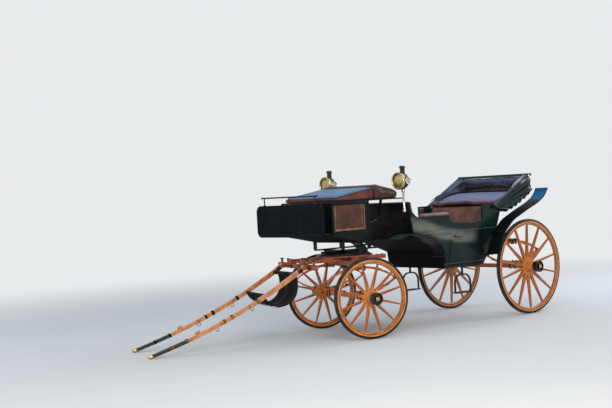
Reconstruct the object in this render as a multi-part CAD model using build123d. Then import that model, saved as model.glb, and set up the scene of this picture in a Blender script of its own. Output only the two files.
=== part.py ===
"""Four-wheeled open landau carriage with a driver's box, a folded rear hood and a pair of shafts.

Millimetres. +X is forward, +Y is the carriage's left side and +Z is up. While it is being
built, X is 0 at the rear axle and Z is 0 on the ground. At the end the whole carriage is
moved so that the middle of its floor area is the origin.
"""
from build123d import *
import math
import os

# Wheels and axles
WHEELBASE = 2295.0
REAR_WHEEL_RADIUS = 550.0
FRONT_WHEEL_RADIUS = 423.5
REAR_WHEEL_GAP = 114.0
FRONT_WHEEL_GAP = 104.0
REAR_SPOKES = 14
FRONT_SPOKES = 12
TYRE_WIDTH = 36.0
TYRE_TREAD_WIDTH = 22.0
TYRE_DEPTH = 22.0
FELLOE_WIDTH = 40.0
FELLOE_DEPTH = 46.0
FELLOE_BEVEL = 8.0
WHEEL_DISH = 26.0
SPOKE_FOOT_WIDTH = 38.0
SPOKE_FOOT_THICKNESS = 30.0
SPOKE_SHRINK = 8.0
NAVE_RADIUS = 76.0
NAVE_NECK_RADIUS = 68.0
NAVE_END_RADIUS = 58.0
NAVE_INNER_REACH = 100.0
NAVE_HOOP_WIDTH = 14.0
NAVE_HOOP_HEIGHT = 4.0
HUB_CAP_LENGTH = 60.0
HUB_CAP_RADIUS = 64.0
HUB_CAP_RIM = 6.0
HUB_CAP_RECESS = 14.0
HUB_NUT_RADIUS = 27.0
HUB_NUT_LENGTH = 20.0
REAR_CAP_REACH = 165.0
FRONT_CAP_REACH = 140.0
AXLE_BAR = 46.0
AXLE_ARM_RADIUS = 20.0
ARM_CLEARANCE = 1.0
NAVE_CLEARANCE = 5.0

# Springs
SPRING_WIDTH = 45.0
LEAF_THICKNESS = 8.0
LEAF_COUNT = 3
LEAF_STEP = 0.22
SPRING_EYE_RADIUS = 15.0
SPRING_CLAMP_LENGTH = 90.0
SPRING_CLAMP_LIP = 5.0
REAR_SPRING_LENGTH = 900.0
REAR_SPRING_HEIGHT = 276.0
SPRING_INSET = 236.0
FRONT_SPRING_LENGTH = 820.0
FRONT_SPRING_HEIGHT = 298.0

# Turntable and fore-carriage
STEER_AT_REST = -15.8
BED_LENGTH = 880.0
BED_WIDTH = 70.0
BED_HEIGHT = 52.0
FUTCHELL_SPREAD = 320.0
FUTCHELL_WIDTH = 46.0
FUTCHELL_HEIGHT = 44.0
FUTCHELL_TAIL = 420.0
RING_RADIUS = 290.0
RING_WIDTH = 44.0
RING_HEIGHT = 12.0
RING_CLEARANCE = 5.0
KING_PIN_RADIUS = 16.0
KING_PIN_CLEARANCE = 1.0
KING_NUT_RADIUS = 30.0
KING_NUT_HEIGHT = 16.0
UPPER_BEAM_WIDTH = 60.0
UPPER_BEAM_HEIGHT = 40.0
SPLINTER_BAR_LENGTH = 960.0
SPLINTER_BAR_WIDTH = 50.0
SPLINTER_BAR_HEIGHT = 46.0
SPLINTER_CAP_LENGTH = 26.0
SPLINTER_CAP_LIP = 3.0
TRACE_PIN_RADIUS = 13.0
TRACE_PIN_HEIGHT = 42.0
TRACE_PIN_INSET = 52.0
INNER_PIN_GAP = 92.0
HINGE_REACH = 600.0
SHAFT_LUG_WIDTH = 12.0
LUG_SEAT = 2.0

# Shafts
SHAFT_SPREAD = 600.0
SHAFT_LENGTH = 1866.0
SHAFT_SAG = 70.0
SHAFT_ROOT_DEPTH = 48.0
SHAFT_TIP_DEPTH = 30.0
SHAFT_WIDTH = 38.0
SHAFT_EYE_RADIUS = 24.0
SHAFT_PIN_RADIUS = 10.0
SHAFT_PIN_CLEARANCE = 0.5
SHAFT_SIDE_CLEARANCE = 5.0
SHAFT_BAR_PLACE = 120.0
SHAFT_BAR_RADIUS = 17.0
SLING_FRONT_PLACE = 500.0
SLING_DEPTH = 215.0
SLING_THICKNESS = 10.0
SLING_MARGIN = 26.0
SLING_GAP = 0.3
SLING_ROD_RADIUS = 8.0
TUG_STOP_PLACE = 1290.0
TUG_STOP_LENGTH = 54.0
TUG_STOP_HEIGHT = 26.0
TUG_STOP_WIDTH = 14.0

# Body shell, with heights above its bottom and reaches from its back foot or well
WALL = 22.0
BODY_BOTTOM = 620.0
BODY_BOTTOM_TUCK = 72.0
BODY_WAIST_TUCK = 24.0
BODY_TOP_HALF = 522.0
WAIST_RISE = 280.0
QUARTER_RISE = 680.0
BODY_BACK_SHARE = 0.25054
BACK_KNEE_REACH = 180.0
BACK_KNEE_RISE = 380.0
BACK_TOP_REACH = 275.0
WELL_SHARE = 0.27233
WELL_LIP_RISE = 180.0
CUTUNDER_SHARE = 0.21351
CUTUNDER_RISE = 185.0
CUTUNDER_MIDDLE_SHARE = 0.62
CUTUNDER_MIDDLE_BOW = 4.0
FRONT_PANEL_RISE = 395.0
FRONT_PANEL_LEAN = 95.0
FRONT_QUARTER_RISE = 590.0
FRONT_SWEEP_LENGTH = 155.0
FRONT_SWEEP_BOW = 26.0
SHELL_CROWN = 60.0

# Doors
DOOR_INSET = 50.0
DOOR_FRONT_INSET = 45.0
DOOR_SILL_RISE = 35.0
DOOR_BACK_RISE = 508.0
DOOR_DIP_RISE = 488.0
DOOR_FRONT_RISE = 530.0
DOOR_GAP = 5.0
MOULDING_HEIGHT = 5.0
MOULDING_WIDTH = 14.0
MOULDING_MARGIN = 21.0
BELT_RISE = 405.0
HINGE_RADIUS = 8.0
HINGE_KNUCKLE = 22.0
HINGE_GAP = 1.0
HINGE_STANDOUT = 6.0
HINGE_ARM = 12.0
HINGE_RISES = (160.0, 440.0)
HANDLE_INSET = 70.0
HANDLE_RISE = 352.0
HANDLE_LENGTH = 95.0
HANDLE_RADIUS = 7.0
HANDLE_LEVER_RADIUS = 9.0
HANDLE_STANDOUT = 34.0

# Seats and trimming
TRIM_GAP = 1.0
SEAT_BOARD = 18.0
REAR_SEAT_SHARE = 0.568
REAR_SEAT_RISE = 330.0
REAR_CUSHION_DEPTH = 115.0
CUSHION_NOSE = 20.0
BACK_SQUAB_DEPTH = 90.0
BACK_ROLL_RADIUS = 78.0
BACK_ROLL_INSET = 31.0
FRONT_SEAT_LIFT = 47.0
FRONT_CUSHION_DEPTH = 90.0
FRONT_SQUAB_DEPTH = 70.0
FRONT_SQUAB_CREST = 30.0
SIDE_ROLL_RADIUS = 40.0

# Hood, from the top of the body's back
HOOD_REACH = 485.0
HOOD_RISE = 300.0
HOOD_PIVOT_REACH = 125.0
HOOD_PIVOT_DROP = 38.0
HOOD_BACK_DROP = 168.0
HOOD_BACK_BULGE = 32.0
HOOD_FOOT_GAP = 34.0
HOOD_FOOT_DROP = 85.0
HOOD_PLEATS_BEHIND = 2
HOOD_PLEATS_BELOW = 4
HOOD_PLEAT_DEPTH = 26.0
HOOD_SIDE = 32.0
HOOD_SIDE_GAP = 2.0
HOOD_BACK_PACK = 45.0
HOOD_LOW_PACK = 60.0
BOW_DEPTH = 30.0
BOW_BAR_WIDTH = 60.0
BOW_STANDOUT = 7.0
SIDE_BOW_WIDTH = 20.0
HOOD_BOSS_RADIUS = 24.0
HOOD_PIN_RADIUS = 12.0
HOOD_PIN_CLEARANCE = 1.0
SIDE_BOW_SHARES = (0.45, 0.92)

# Fenders, each path's columns are angle round the wheel from straight ahead, distance beyond
# the tyre, and corner radius of the bend there
FENDER_INSET = 10.0
FENDER_WIDTH = 180.0
FENDER_THICKNESS = 8.0
FENDER_EDGE = 16.0
FENDER_STAY_RADIUS = 7.0
REAR_FENDER_PATH = (
    (17.4, 68, 0), (41.5, 90, 300), (61, 95, 400), (84, 119, 900), (100, 201, 900), (108, 307, 300),
    (109.3, 404, 0),
)
FRONT_FENDER_PATH = (
    (106.7, 184, 0), (117.3, 284, 300), (130.6, 382, 400), (139.4, 439, 500), (148.8, 506, 140),
    (154.3, 514, 50), (156.8, 469, 0),
)
REAR_STAY_KNOTS = (0, 1)
FRONT_STAY_KNOTS = (3,)

# Driver's box
BOX_LEAD = 5.0
BOX_LENGTH = 485.0
BOX_TOP = 1430.0
BOX_BACK_DEPTH = 445.0
BOX_FRONT_DEPTH = 345.0
BOX_HALF = 420.0
BOX_MOULDING = 6.0
BOX_MOULDING_HEIGHT = 24.0
BOX_PANEL_DEPTH = 6.0
BOX_PANEL_MARGIN = 26.0
BOX_PANEL_HEIGHT = 278.0
DASH_GAP = 215.0
DASH_BOTTOM = 1090.0
DASH_TOP = 1430.0
DASH_HALF = 560.0
DASH_THICKNESS = 14.0
DASH_CORNER = 70.0
DASH_RIM = 16.0
DASH_RIM_LIP = 4.0
FOOTBOARD_THICKNESS = 18.0
RAIL_RISE = 82.0
RAIL_HALF = 460.0
RAIL_RADIUS = 8.0
RAIL_POST_RADIUS = 6.4
RAIL_POSTS = 3
RAIL_POST_INSET = 37.0
CUSHION_OVERHANG = 110.0
CUSHION_FRONT_INSET = 45.0
CUSHION_FRONT_DEPTH = 62.0
CUSHION_BACK_DEPTH = 145.0
CUSHION_HALF = 430.0
BOLSTER_LENGTH = 340.0
BOLSTER_GAP = 15.0
BOLSTER_FRONT_DEPTH = 170.0
BOLSTER_BACK_DEPTH = 100.0
SEAT_PLATE = 14.0
SEAT_PLATE_INSET = 10.0
SEAT_POST = 30.0
BRACE_INSET = 70.0
BRACE_DROP = 250.0
BRACE_SAG = 30.0
BRACE_LENGTH = 45.0
BRACE_RADIUS = 120.0

# Lamps
LAMP_LAG = 375.0
LAMP_STANDOFF = 78.0
LAMP_CENTRE = 1620.0
LAMP_BEZEL_RADIUS = 92.0
LAMP_DRUM_RADIUS = 78.0
LAMP_BACK_RADIUS = 44.0
LAMP_DRUM_BACK = 62.0
LAMP_BEZEL_BACK = 52.0
LAMP_BEZEL_FRONT = 78.0
LAMP_LENS_RECESS = 12.0
LAMP_BEZEL_WIDTH = 12.0
LAMP_CHIMNEY_RADIUS = 26.0
LAMP_CAP_RADIUS = 40.0
LAMP_CAP_HEIGHT = 22.0
LAMP_TOP = 1780.0
LAMP_SOCKET_RADIUS = 22.0
LAMP_SOCKET_LENGTH = 40.0
LAMP_STEM_RADIUS = 10.0
LAMP_STEM_FOOT = 1300.0
LAMP_BALL_RADIUS = 17.0
LAMP_ARM_RADIUS = 7.0

# Steps and body irons
STEP_SHARE = 0.519
STEP_WIDTH = 250.0
STEP_TREAD_HEIGHT = 330.0
STEP_TREAD_DEPTH = 95.0
STEP_TREAD_CORNER = 20.0
STEP_ARCH_HEIGHT = 200.0
STEP_ARCH_RADIUS = 95.0
STEP_ROD = 16.0
STEP_STEM_RADIUS = 13.0
STEP_INSET = 30.0
IRON_WIDTH = 44.0
IRON_THICKNESS = 16.0
IRON_BEND = 120.0
REAR_IRON_LANDING = 125.0
REAR_IRON_SLOPE = 215.0
FRONT_IRON_SPREAD = 460.0
FRONT_IRON_TAIL = 35.0
FRONT_IRON_LEVEL = 360.0
FRONT_IRON_NOSE = 200.0
FRONT_IRON_TAIL_RISE = 15.0
FRONT_IRON_NOSE_RISE = 90.0

# Heights and places worked out from the sizes above
REAR_TRACK = 2 * (BODY_TOP_HALF + REAR_WHEEL_GAP)
FRONT_TRACK = 2 * (BODY_TOP_HALF + FRONT_WHEEL_GAP)
REAR_SPRING_SPREAD = REAR_TRACK - 2 * SPRING_INSET
FRONT_SPRING_SPREAD = FRONT_TRACK - 2 * SPRING_INSET
REAR_SPRING_SEAT = REAR_WHEEL_RADIUS + AXLE_BAR / 2
REAR_SPRING_TOP = REAR_SPRING_SEAT + REAR_SPRING_HEIGHT
FRONT_SPRING_SEAT = FRONT_WHEEL_RADIUS + AXLE_BAR / 2
BED_BOTTOM = FRONT_SPRING_SEAT + FRONT_SPRING_HEIGHT
BED_TOP = BED_BOTTOM + BED_HEIGHT
FUTCHELL_TOP = BED_TOP + FUTCHELL_HEIGHT
LOWER_RING_TOP = FUTCHELL_TOP + RING_HEIGHT
UPPER_RING_BOTTOM = LOWER_RING_TOP + RING_CLEARANCE
UPPER_RING_TOP = UPPER_RING_BOTTOM + RING_HEIGHT
UPPER_BEAM_TOP = UPPER_RING_TOP + UPPER_BEAM_HEIGHT
SPLINTER_FRONT = HINGE_REACH - SHAFT_EYE_RADIUS - SHAFT_SIDE_CLEARANCE
HINGE_HEIGHT = BED_TOP - SPLINTER_BAR_HEIGHT / 2
SHAFT_DROP = math.degrees(math.asin((HINGE_HEIGHT - SHAFT_TIP_DEPTH / 2) / SHAFT_LENGTH))
KING_PIN = Vector(WHEELBASE, 0, 0)
BODY_WAIST = BODY_BOTTOM + WAIST_RISE
QUARTER_TOP = BODY_BOTTOM + QUARTER_RISE
BODY_WAIST_HALF = BODY_TOP_HALF - BODY_WAIST_TUCK
BODY_BOTTOM_HALF = BODY_TOP_HALF - BODY_BOTTOM_TUCK
BODY_BACK_FOOT = BODY_BACK_SHARE * WHEELBASE
BODY_BACK_TOP = BODY_BACK_FOOT - BACK_TOP_REACH
WELL_LENGTH = WELL_SHARE * WHEELBASE
WELL_FRONT = BODY_BACK_FOOT + WELL_LENGTH
WELL_LIP = BODY_BOTTOM + WELL_LIP_RISE
BODY_FRONT_FOOT = WELL_FRONT + CUTUNDER_SHARE * WHEELBASE
FRONT_FOOT_HEIGHT = WELL_LIP + CUTUNDER_RISE
BODY_FRONT_TOP = BODY_FRONT_FOOT + FRONT_PANEL_LEAN
FRONT_TOP_HEIGHT = FRONT_FOOT_HEIGHT + FRONT_PANEL_RISE
FRONT_QUARTER_TOP = BODY_BOTTOM + FRONT_QUARTER_RISE
CROWN = max(QUARTER_TOP, FRONT_TOP_HEIGHT) + SHELL_CROWN
DOOR_BACK = BODY_BACK_FOOT + DOOR_INSET
DOOR_FRONT = WELL_FRONT - DOOR_FRONT_INSET
DOOR_SILL = BODY_BOTTOM + DOOR_SILL_RISE
REAR_SEAT_FRONT = BODY_BACK_FOOT + REAR_SEAT_SHARE * WELL_LENGTH
REAR_SEAT_TOP = BODY_BOTTOM + REAR_SEAT_RISE
FRONT_SEAT_TOP = FRONT_FOOT_HEIGHT + FRONT_SEAT_LIFT
HOOD_PIVOT = Vector(BODY_BACK_TOP + HOOD_PIVOT_REACH, QUARTER_TOP - HOOD_PIVOT_DROP)
HOOD_CORNER = Vector(BODY_BACK_TOP - HOOD_REACH, QUARTER_TOP + HOOD_RISE)
HOOD_HALF = BODY_TOP_HALF + HOOD_SIDE_GAP + HOOD_SIDE
CUSHION_BOTTOM = BOX_TOP + SEAT_PLATE + TRIM_GAP / 2
STEP_PLACE = DOOR_BACK + STEP_SHARE * (DOOR_FRONT - DOOR_BACK)
STEP_HALF_SPREAD = BODY_BOTTOM_HALF - STEP_INSET
BOX_BACK = WHEELBASE + BOX_LEAD
BOX_FRONT = BOX_BACK + BOX_LENGTH
DASH_PLACE = BOX_FRONT + DASH_GAP
CUSHION_BACK = BOX_BACK - CUSHION_OVERHANG
CUSHION_FRONT = BOX_FRONT - CUSHION_FRONT_INSET
BOLSTER_FRONT = CUSHION_BACK - BOLSTER_GAP
BOLSTER_BACK = BOLSTER_FRONT - BOLSTER_LENGTH
LAMP_PLACE = BOX_BACK - LAMP_LAG
LAMP_HALF_SPREAD = BODY_TOP_HALF + LAMP_STANDOFF
RAIL_HEIGHT = DASH_TOP + RAIL_RISE


def side_slab(face, low, high):
    """Give a face drawn as (X, Z) its thickness from Y = low to Y = high."""
    return extrude(Plane.XZ.offset(-high) * face, amount=high - low)


def cross_slab(face, low, high):
    """Give a face drawn as (Y, Z) its thickness from X = low to X = high."""
    return extrude(Plane.YZ.offset(low) * face, amount=high - low)


def outline(*points):
    """Make a face from corner points."""
    return make_face(Polyline(*points, close=True))


def block(x_low, x_high, y_low, y_high, z_low, z_high):
    """Make a block from its limits."""
    box = Box(x_high - x_low, y_high - y_low, z_high - z_low, align=(Align.MIN, Align.MIN, Align.MIN))
    return Pos(x_low, y_low, z_low) * box


def rod(start, end, radius):
    """Make a round rod between two points."""
    axis = Vector(*end) - Vector(*start)
    plane = Plane(origin=start, z_dir=axis)
    return extrude(plane * Circle(radius), amount=axis.length)


def turned(*points):
    """Turn a profile, drawn as (radius, height), about the Z axis."""
    return revolve(Plane.XZ * outline(*points), Axis.Z)


def both_sides(shape):
    """Return a shape and its mirror image across the middle of the carriage."""
    return shape + mirror(shape, about=Plane.XZ)


def to_gear(shape):
    """Turn a shape drawn with the king pin at the origin to the fore-carriage's place."""
    return Pos(*KING_PIN) * Rot(0, 0, STEER_AT_REST) * shape


# Wheels
def spoke(seat, felloe_inner):
    """Make the spoke along +X, flat-sided and tapered, from its seat in the nave to the felloe."""
    reach = felloe_inner + FELLOE_BEVEL - seat
    lean = math.degrees(math.atan2(WHEEL_DISH, reach))
    length = math.hypot(WHEEL_DISH, reach)
    foot = Rectangle(SPOKE_FOOT_WIDTH, SPOKE_FOOT_THICKNESS)
    taper = math.degrees(math.atan2(SPOKE_SHRINK, length))
    return Pos(seat, 0, -WHEEL_DISH) * Rot(0, 90 - lean, 0) * extrude(foot, amount=length, taper=taper)


def nave(spokes, outer_end):
    """Make the hooped nave with a flat for each spoke's foot round its middle."""
    bore = AXLE_ARM_RADIUS + ARM_CLEARANCE
    hoop = NAVE_END_RADIUS + NAVE_HOOP_HEIGHT
    half = SPOKE_FOOT_WIDTH / 2 + NAVE_HOOP_HEIGHT
    body = turned(
        (bore, -NAVE_INNER_REACH),
        (hoop, -NAVE_INNER_REACH),
        (hoop, NAVE_HOOP_WIDTH - NAVE_INNER_REACH),
        (NAVE_END_RADIUS, NAVE_HOOP_WIDTH - NAVE_INNER_REACH),
        (NAVE_NECK_RADIUS, -WHEEL_DISH - half),
        (NAVE_NECK_RADIUS, half - WHEEL_DISH),
        (NAVE_END_RADIUS, outer_end - NAVE_HOOP_WIDTH),
        (hoop, outer_end - NAVE_HOOP_WIDTH),
        (hoop, outer_end),
        (bore, outer_end),
    )
    flats = RegularPolygon(NAVE_RADIUS, spokes, major_radius=False)
    ring_face = flats - Circle(NAVE_NECK_RADIUS - NAVE_HOOP_HEIGHT)
    return body + extrude(Pos(0, 0, -WHEEL_DISH - half) * ring_face, amount=2 * half)


def hub_cap(start, end):
    """Make the turned cap over the nave's outer end, with a rim round the nut in its middle."""
    inner = HUB_CAP_RADIUS - HUB_CAP_RIM
    recess = end - HUB_CAP_RECESS
    return turned(
        (0, start),
        (HUB_CAP_RADIUS, start),
        (HUB_CAP_RADIUS, end),
        (inner, end),
        (inner, recess),
        (HUB_NUT_RADIUS, recess),
        (HUB_NUT_RADIUS - HUB_CAP_RIM, recess + HUB_NUT_LENGTH),
        (0, recess + HUB_NUT_LENGTH),
    )


def wheel_pieces(radius, spokes, cap_reach):
    """Make a wheel's timber, tyre and hub cap about the Z axis, with its outer side up."""
    felloe_outer = radius - TYRE_DEPTH
    felloe_inner = felloe_outer - FELLOE_DEPTH
    half = FELLOE_WIDTH / 2
    tyre = turned(
        (felloe_outer, TYRE_WIDTH / 2),
        (felloe_outer, -TYRE_WIDTH / 2),
        (radius, -TYRE_TREAD_WIDTH / 2),
        (radius, TYRE_TREAD_WIDTH / 2),
    )
    felloe = turned(
        (felloe_outer, half),
        (felloe_outer, -half),
        (felloe_inner + FELLOE_BEVEL, -half),
        (felloe_inner, FELLOE_BEVEL - half),
        (felloe_inner, half - FELLOE_BEVEL),
        (felloe_inner + FELLOE_BEVEL, half),
    )
    cap_start = cap_reach - HUB_CAP_LENGTH
    first = spoke(NAVE_RADIUS - NAVE_HOOP_HEIGHT, felloe_inner)
    pitch = 360 / spokes
    turns = [Rot(0, 0, pitch * (number + 0.5)) for number in range(spokes)]
    timber = nave(spokes, cap_start) + [turn * first for turn in turns] + felloe
    return timber, tyre, hub_cap(cap_start, cap_reach)


def axle(track, cap_reach, height):
    """Make a square axle bar along Y with round arms that end inside the hub caps' naves."""
    half = track / 2 - NAVE_INNER_REACH - NAVE_CLEARANCE
    arm_end = track / 2 + cap_reach - HUB_CAP_LENGTH - NAVE_CLEARANCE
    bar = block(-AXLE_BAR / 2, AXLE_BAR / 2, -half, half, -AXLE_BAR / 2, AXLE_BAR / 2)
    arms = rod((0, -arm_end, 0), (0, arm_end, 0), AXLE_ARM_RADIUS)
    return Pos(0, 0, height) * (bar + arms)


def elliptic_spring(length, height, spread, seat):
    """Make a pair of full elliptic leaf springs along X, standing on the height of their seat."""
    pack = LEAF_COUNT * LEAF_THICKNESS
    sagitta = height / 2 - pack
    radius = (length**2 / 4 + sagitta**2) / (2 * sagitta)
    half_angle = math.degrees(math.asin(length / 2 / radius))
    half = SPRING_WIDTH / 2
    leaves = None
    for number in range(LEAF_COUNT):
        middle = radius + (number + 0.5) * LEAF_THICKNESS
        reach = half_angle * (1 - LEAF_STEP * number)
        arc = CenterArc((0, sagitta - radius), middle, 90 - reach, 2 * reach)
        leaf = side_slab(trace(arc, LEAF_THICKNESS), -half, half)
        leaves = leaf if leaves is None else leaves + leaf
    lip = half + SPRING_CLAMP_LIP
    reach = SPRING_CLAMP_LENGTH / 2
    leaves += block(-reach, reach, -lip, lip, height / 2 - pack - SPRING_CLAMP_LIP, height / 2)
    spring = leaves + mirror(leaves, about=Plane.XY)
    for end in (-length / 2, length / 2):
        spring += rod((end, -half, 0), (end, half, 0), SPRING_EYE_RADIUS)
    return both_sides(Pos(0, spread / 2, seat + height / 2) * spring)


# Body
def section_arc(inset=0.0):
    """Make the left half of the body's turned-under cross section, drawn as (Y, Z)."""
    return ThreePointArc(
        (BODY_BOTTOM_HALF - inset, BODY_BOTTOM),
        (BODY_WAIST_HALF - inset, BODY_WAIST),
        (BODY_TOP_HALF - inset, QUARTER_TOP),
    )


def back_arc():
    """Make the bowed line of the body's back, drawn as (X, Z)."""
    return ThreePointArc(
        (BODY_BACK_FOOT, BODY_BOTTOM),
        (BODY_BACK_FOOT - BACK_KNEE_REACH, BODY_BOTTOM + BACK_KNEE_RISE),
        (BODY_BACK_TOP, QUARTER_TOP),
    )


def body_tunnel(inset):
    """Make the body's cross section, inset by a wall, as a solid that runs past both ends."""
    low = BODY_BOTTOM - SHELL_CROWN
    left = section_arc(inset)
    right = mirror(left, about=Plane.YZ)
    top = Polyline(left @ 1, (BODY_TOP_HALF - inset, CROWN), (inset - BODY_TOP_HALF, CROWN), right @ 1)
    bottom = Polyline(left @ 0, (BODY_BOTTOM_HALF - inset, low), (inset - BODY_BOTTOM_HALF, low), right @ 0)
    return cross_slab(make_face([left, top, right, bottom]), 0, WHEELBASE)


def half_width(height):
    """Give the body's outer half width at a height."""
    arc = section_arc()
    return arc.arc_center.X + math.sqrt(arc.radius**2 - (height - arc.arc_center.Y) ** 2)


def back_face(height):
    """Give the X of the back panel's inner face at a height."""
    arc = back_arc()
    drop = min(height, QUARTER_TOP) - arc.arc_center.Y
    return arc.arc_center.X - math.sqrt((arc.radius - WALL) ** 2 - drop**2)


def front_face(height):
    """Give the X of the front panel's inner face at a height."""
    share = (height - FRONT_FOOT_HEIGHT) / FRONT_PANEL_RISE
    return BODY_FRONT_FOOT + share * FRONT_PANEL_LEAN - WALL


def shell(inset):
    """Make the space inside the body's profile, inset by a wall and open upward to the crown."""
    middle = Vector(
        WELL_FRONT + (BODY_FRONT_FOOT - WELL_FRONT) * CUTUNDER_MIDDLE_SHARE,
        WELL_LIP + CUTUNDER_RISE * CUTUNDER_MIDDLE_SHARE + CUTUNDER_MIDDLE_BOW,
    )
    cutunder = ThreePointArc((WELL_FRONT, WELL_LIP), middle, (BODY_FRONT_FOOT, FRONT_FOOT_HEIGHT))
    over = Polyline(
        (BODY_FRONT_FOOT, FRONT_FOOT_HEIGHT),
        (front_face(CROWN) + WALL, CROWN),
        (BODY_BACK_TOP, CROWN),
        (BODY_BACK_TOP, QUARTER_TOP),
    )
    well = Polyline((BODY_BACK_FOOT, BODY_BOTTOM), (WELL_FRONT, BODY_BOTTOM), (WELL_FRONT, WELL_LIP))
    profile = make_face([cutunder, over, back_arc(), well])
    if inset:
        profile = offset(profile, amount=-inset, kind=Kind.INTERSECTION)
    return side_slab(profile, -BODY_TOP_HALF, BODY_TOP_HALF)


def inside_body(shape, gap):
    """Fit a piece to the space inside the body, with a gap all round."""
    return shape & shell(WALL + gap) & body_tunnel(WALL + gap)


def under_top_line():
    """Make everything below the top line of a body side, with the dip of its door."""
    sweep_start = Vector(BODY_FRONT_TOP - FRONT_SWEEP_LENGTH, FRONT_QUARTER_TOP)
    sweep_end = Vector(BODY_FRONT_TOP - WALL, FRONT_TOP_HEIGHT)
    sweep_middle = (sweep_start + sweep_end) / 2 + Vector(FRONT_SWEEP_BOW, -FRONT_SWEEP_BOW)
    quarter = Polyline((0, QUARTER_TOP), (DOOR_BACK, QUARTER_TOP), (DOOR_BACK, BODY_BOTTOM + DOOR_BACK_RISE))
    dip = ThreePointArc(
        (DOOR_BACK, BODY_BOTTOM + DOOR_BACK_RISE),
        ((DOOR_BACK + DOOR_FRONT) / 2, BODY_BOTTOM + DOOR_DIP_RISE),
        (DOOR_FRONT, BODY_BOTTOM + DOOR_FRONT_RISE),
    )
    front = Polyline(dip @ 1, (DOOR_FRONT, FRONT_QUARTER_TOP), sweep_start)
    sweep = ThreePointArc(sweep_start, sweep_middle, sweep_end)
    around = Polyline(sweep_end, (WHEELBASE, FRONT_TOP_HEIGHT), (WHEELBASE, 0), (0, 0), (0, QUARTER_TOP))
    return side_slab(make_face([quarter, dip, front, sweep, around]), 0, BODY_TOP_HALF + WALL)


def door_block(gap):
    """Make the block that a left door fills, with a gap round its edges."""
    return block(
        DOOR_BACK - gap, DOOR_FRONT + gap, 0, BODY_TOP_HALF + WALL, DOOR_SILL - gap, QUARTER_TOP + WALL
    )


def body_side():
    """Make the left side panel with its door cut out and its belt mouldings, and the left door."""
    panel = (shell(0) & under_top_line()) & (body_tunnel(0) - body_tunnel(WALL))
    skin = body_tunnel(-MOULDING_HEIGHT) - body_tunnel(WALL / 2)
    out = BODY_TOP_HALF + WALL
    high = BODY_BOTTOM + BELT_RISE
    low = high - MOULDING_WIDTH
    side = panel - door_block(DOOR_GAP)
    side += block(back_face(high), DOOR_BACK - DOOR_GAP, 0, out, low, high) & skin
    side += block(DOOR_FRONT + DOOR_GAP, front_face(high), 0, out, low, high) & skin
    edge = MOULDING_MARGIN
    frame = block(DOOR_BACK + edge, DOOR_FRONT - edge, 0, out, DOOR_SILL + edge, high)
    edge += MOULDING_WIDTH
    frame -= block(DOOR_BACK + edge, DOOR_FRONT - edge, 0, out, DOOR_SILL + edge, low)
    return side, (panel & door_block(0)) + (frame & skin)


HINGE_Y = half_width(BODY_BOTTOM + max(HINGE_RISES)) + HINGE_RADIUS + HINGE_STANDOUT
HINGE_X = DOOR_BACK - DOOR_GAP / 2


def hinge_leaf(rise, low, high, forward):
    """Make one leaf of a left hinge, its arm running forward (1) to the door or back (-1)."""
    skin = half_width(BODY_BOTTOM + rise)
    bottom = BODY_BOTTOM + rise + low
    top = BODY_BOTTOM + rise + high
    thin = HINGE_ARM / 2
    near = skin + DOOR_GAP
    end = HINGE_X + forward * (DOOR_GAP / 2 + 2 * HINGE_ARM)
    strap_start = HINGE_X - forward * thin
    foot_start = HINGE_X + forward * (DOOR_GAP + thin)
    knuckle = rod((HINGE_X, HINGE_Y, bottom), (HINGE_X, HINGE_Y, top), HINGE_RADIUS)
    neck = block(HINGE_X - thin, HINGE_X + thin, near, HINGE_Y, bottom, top)
    strap = block(*sorted((strap_start, end)), near, near + thin, bottom, top)
    foot = block(*sorted((foot_start, end)), skin - WALL / 2, near + thin, bottom, top)
    return knuckle + neck + strap + foot


def door_handle():
    """Make the left door's lever handle on its short post."""
    height = BODY_BOTTOM + HANDLE_RISE
    place = DOOR_FRONT - HANDLE_INSET
    skin = half_width(height)
    reach = skin + HANDLE_STANDOUT
    post = rod((place, skin - WALL / 2, height), (place, reach, height), HANDLE_RADIUS)
    ends = (place + 2 * HANDLE_RADIUS, place - HANDLE_LENGTH)
    lever = rod((ends[0], reach, height), (ends[1], reach, height), HANDLE_LEVER_RADIUS)
    return post + lever - body_tunnel(0)


def body_strip():
    """Make the back, floor and front panels between the sides, as one bent strip in three parts."""
    strip = (shell(0) - shell(WALL)) & body_tunnel(WALL)
    half = BODY_TOP_HALF
    back_end = BODY_BACK_FOOT + WALL
    front_start = BODY_FRONT_FOOT - 2 * WALL
    back_low = BODY_BOTTOM + WALL
    front_low = FRONT_FOOT_HEIGHT + WALL
    back = strip & block(0, back_end, -half, half, back_low, QUARTER_TOP)
    front = strip & block(front_start, WHEELBASE, -half, half, front_low, FRONT_TOP_HEIGHT)
    floor = strip - block(0, back_end, -half, half, back_low, CROWN)
    floor -= block(0, front_start, -half, half, QUARTER_TOP, CROWN)
    floor -= block(front_start, WHEELBASE, -half, half, front_low, CROWN)
    return back, floor, front


def seat_boards():
    """Make the rear seat's riser and shelf, and the front seat's riser and shelf."""
    half = BODY_TOP_HALF
    shelf_top = REAR_SEAT_TOP + SEAT_BOARD
    front_riser = WELL_FRONT - WALL
    rear = block(BODY_BACK_TOP, REAR_SEAT_FRONT, -half, half, REAR_SEAT_TOP, shelf_top)
    rear += block(REAR_SEAT_FRONT - SEAT_BOARD, REAR_SEAT_FRONT, -half, half, BODY_BOTTOM, shelf_top)
    front = block(front_riser, BODY_FRONT_TOP, -half, half, FRONT_SEAT_TOP - SEAT_BOARD, FRONT_SEAT_TOP)
    front += block(front_riser, front_riser + SEAT_BOARD, -half, half, WELL_LIP, FRONT_SEAT_TOP)
    return (rear + front) & shell(WALL) & body_tunnel(WALL + TRIM_GAP)


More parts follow.
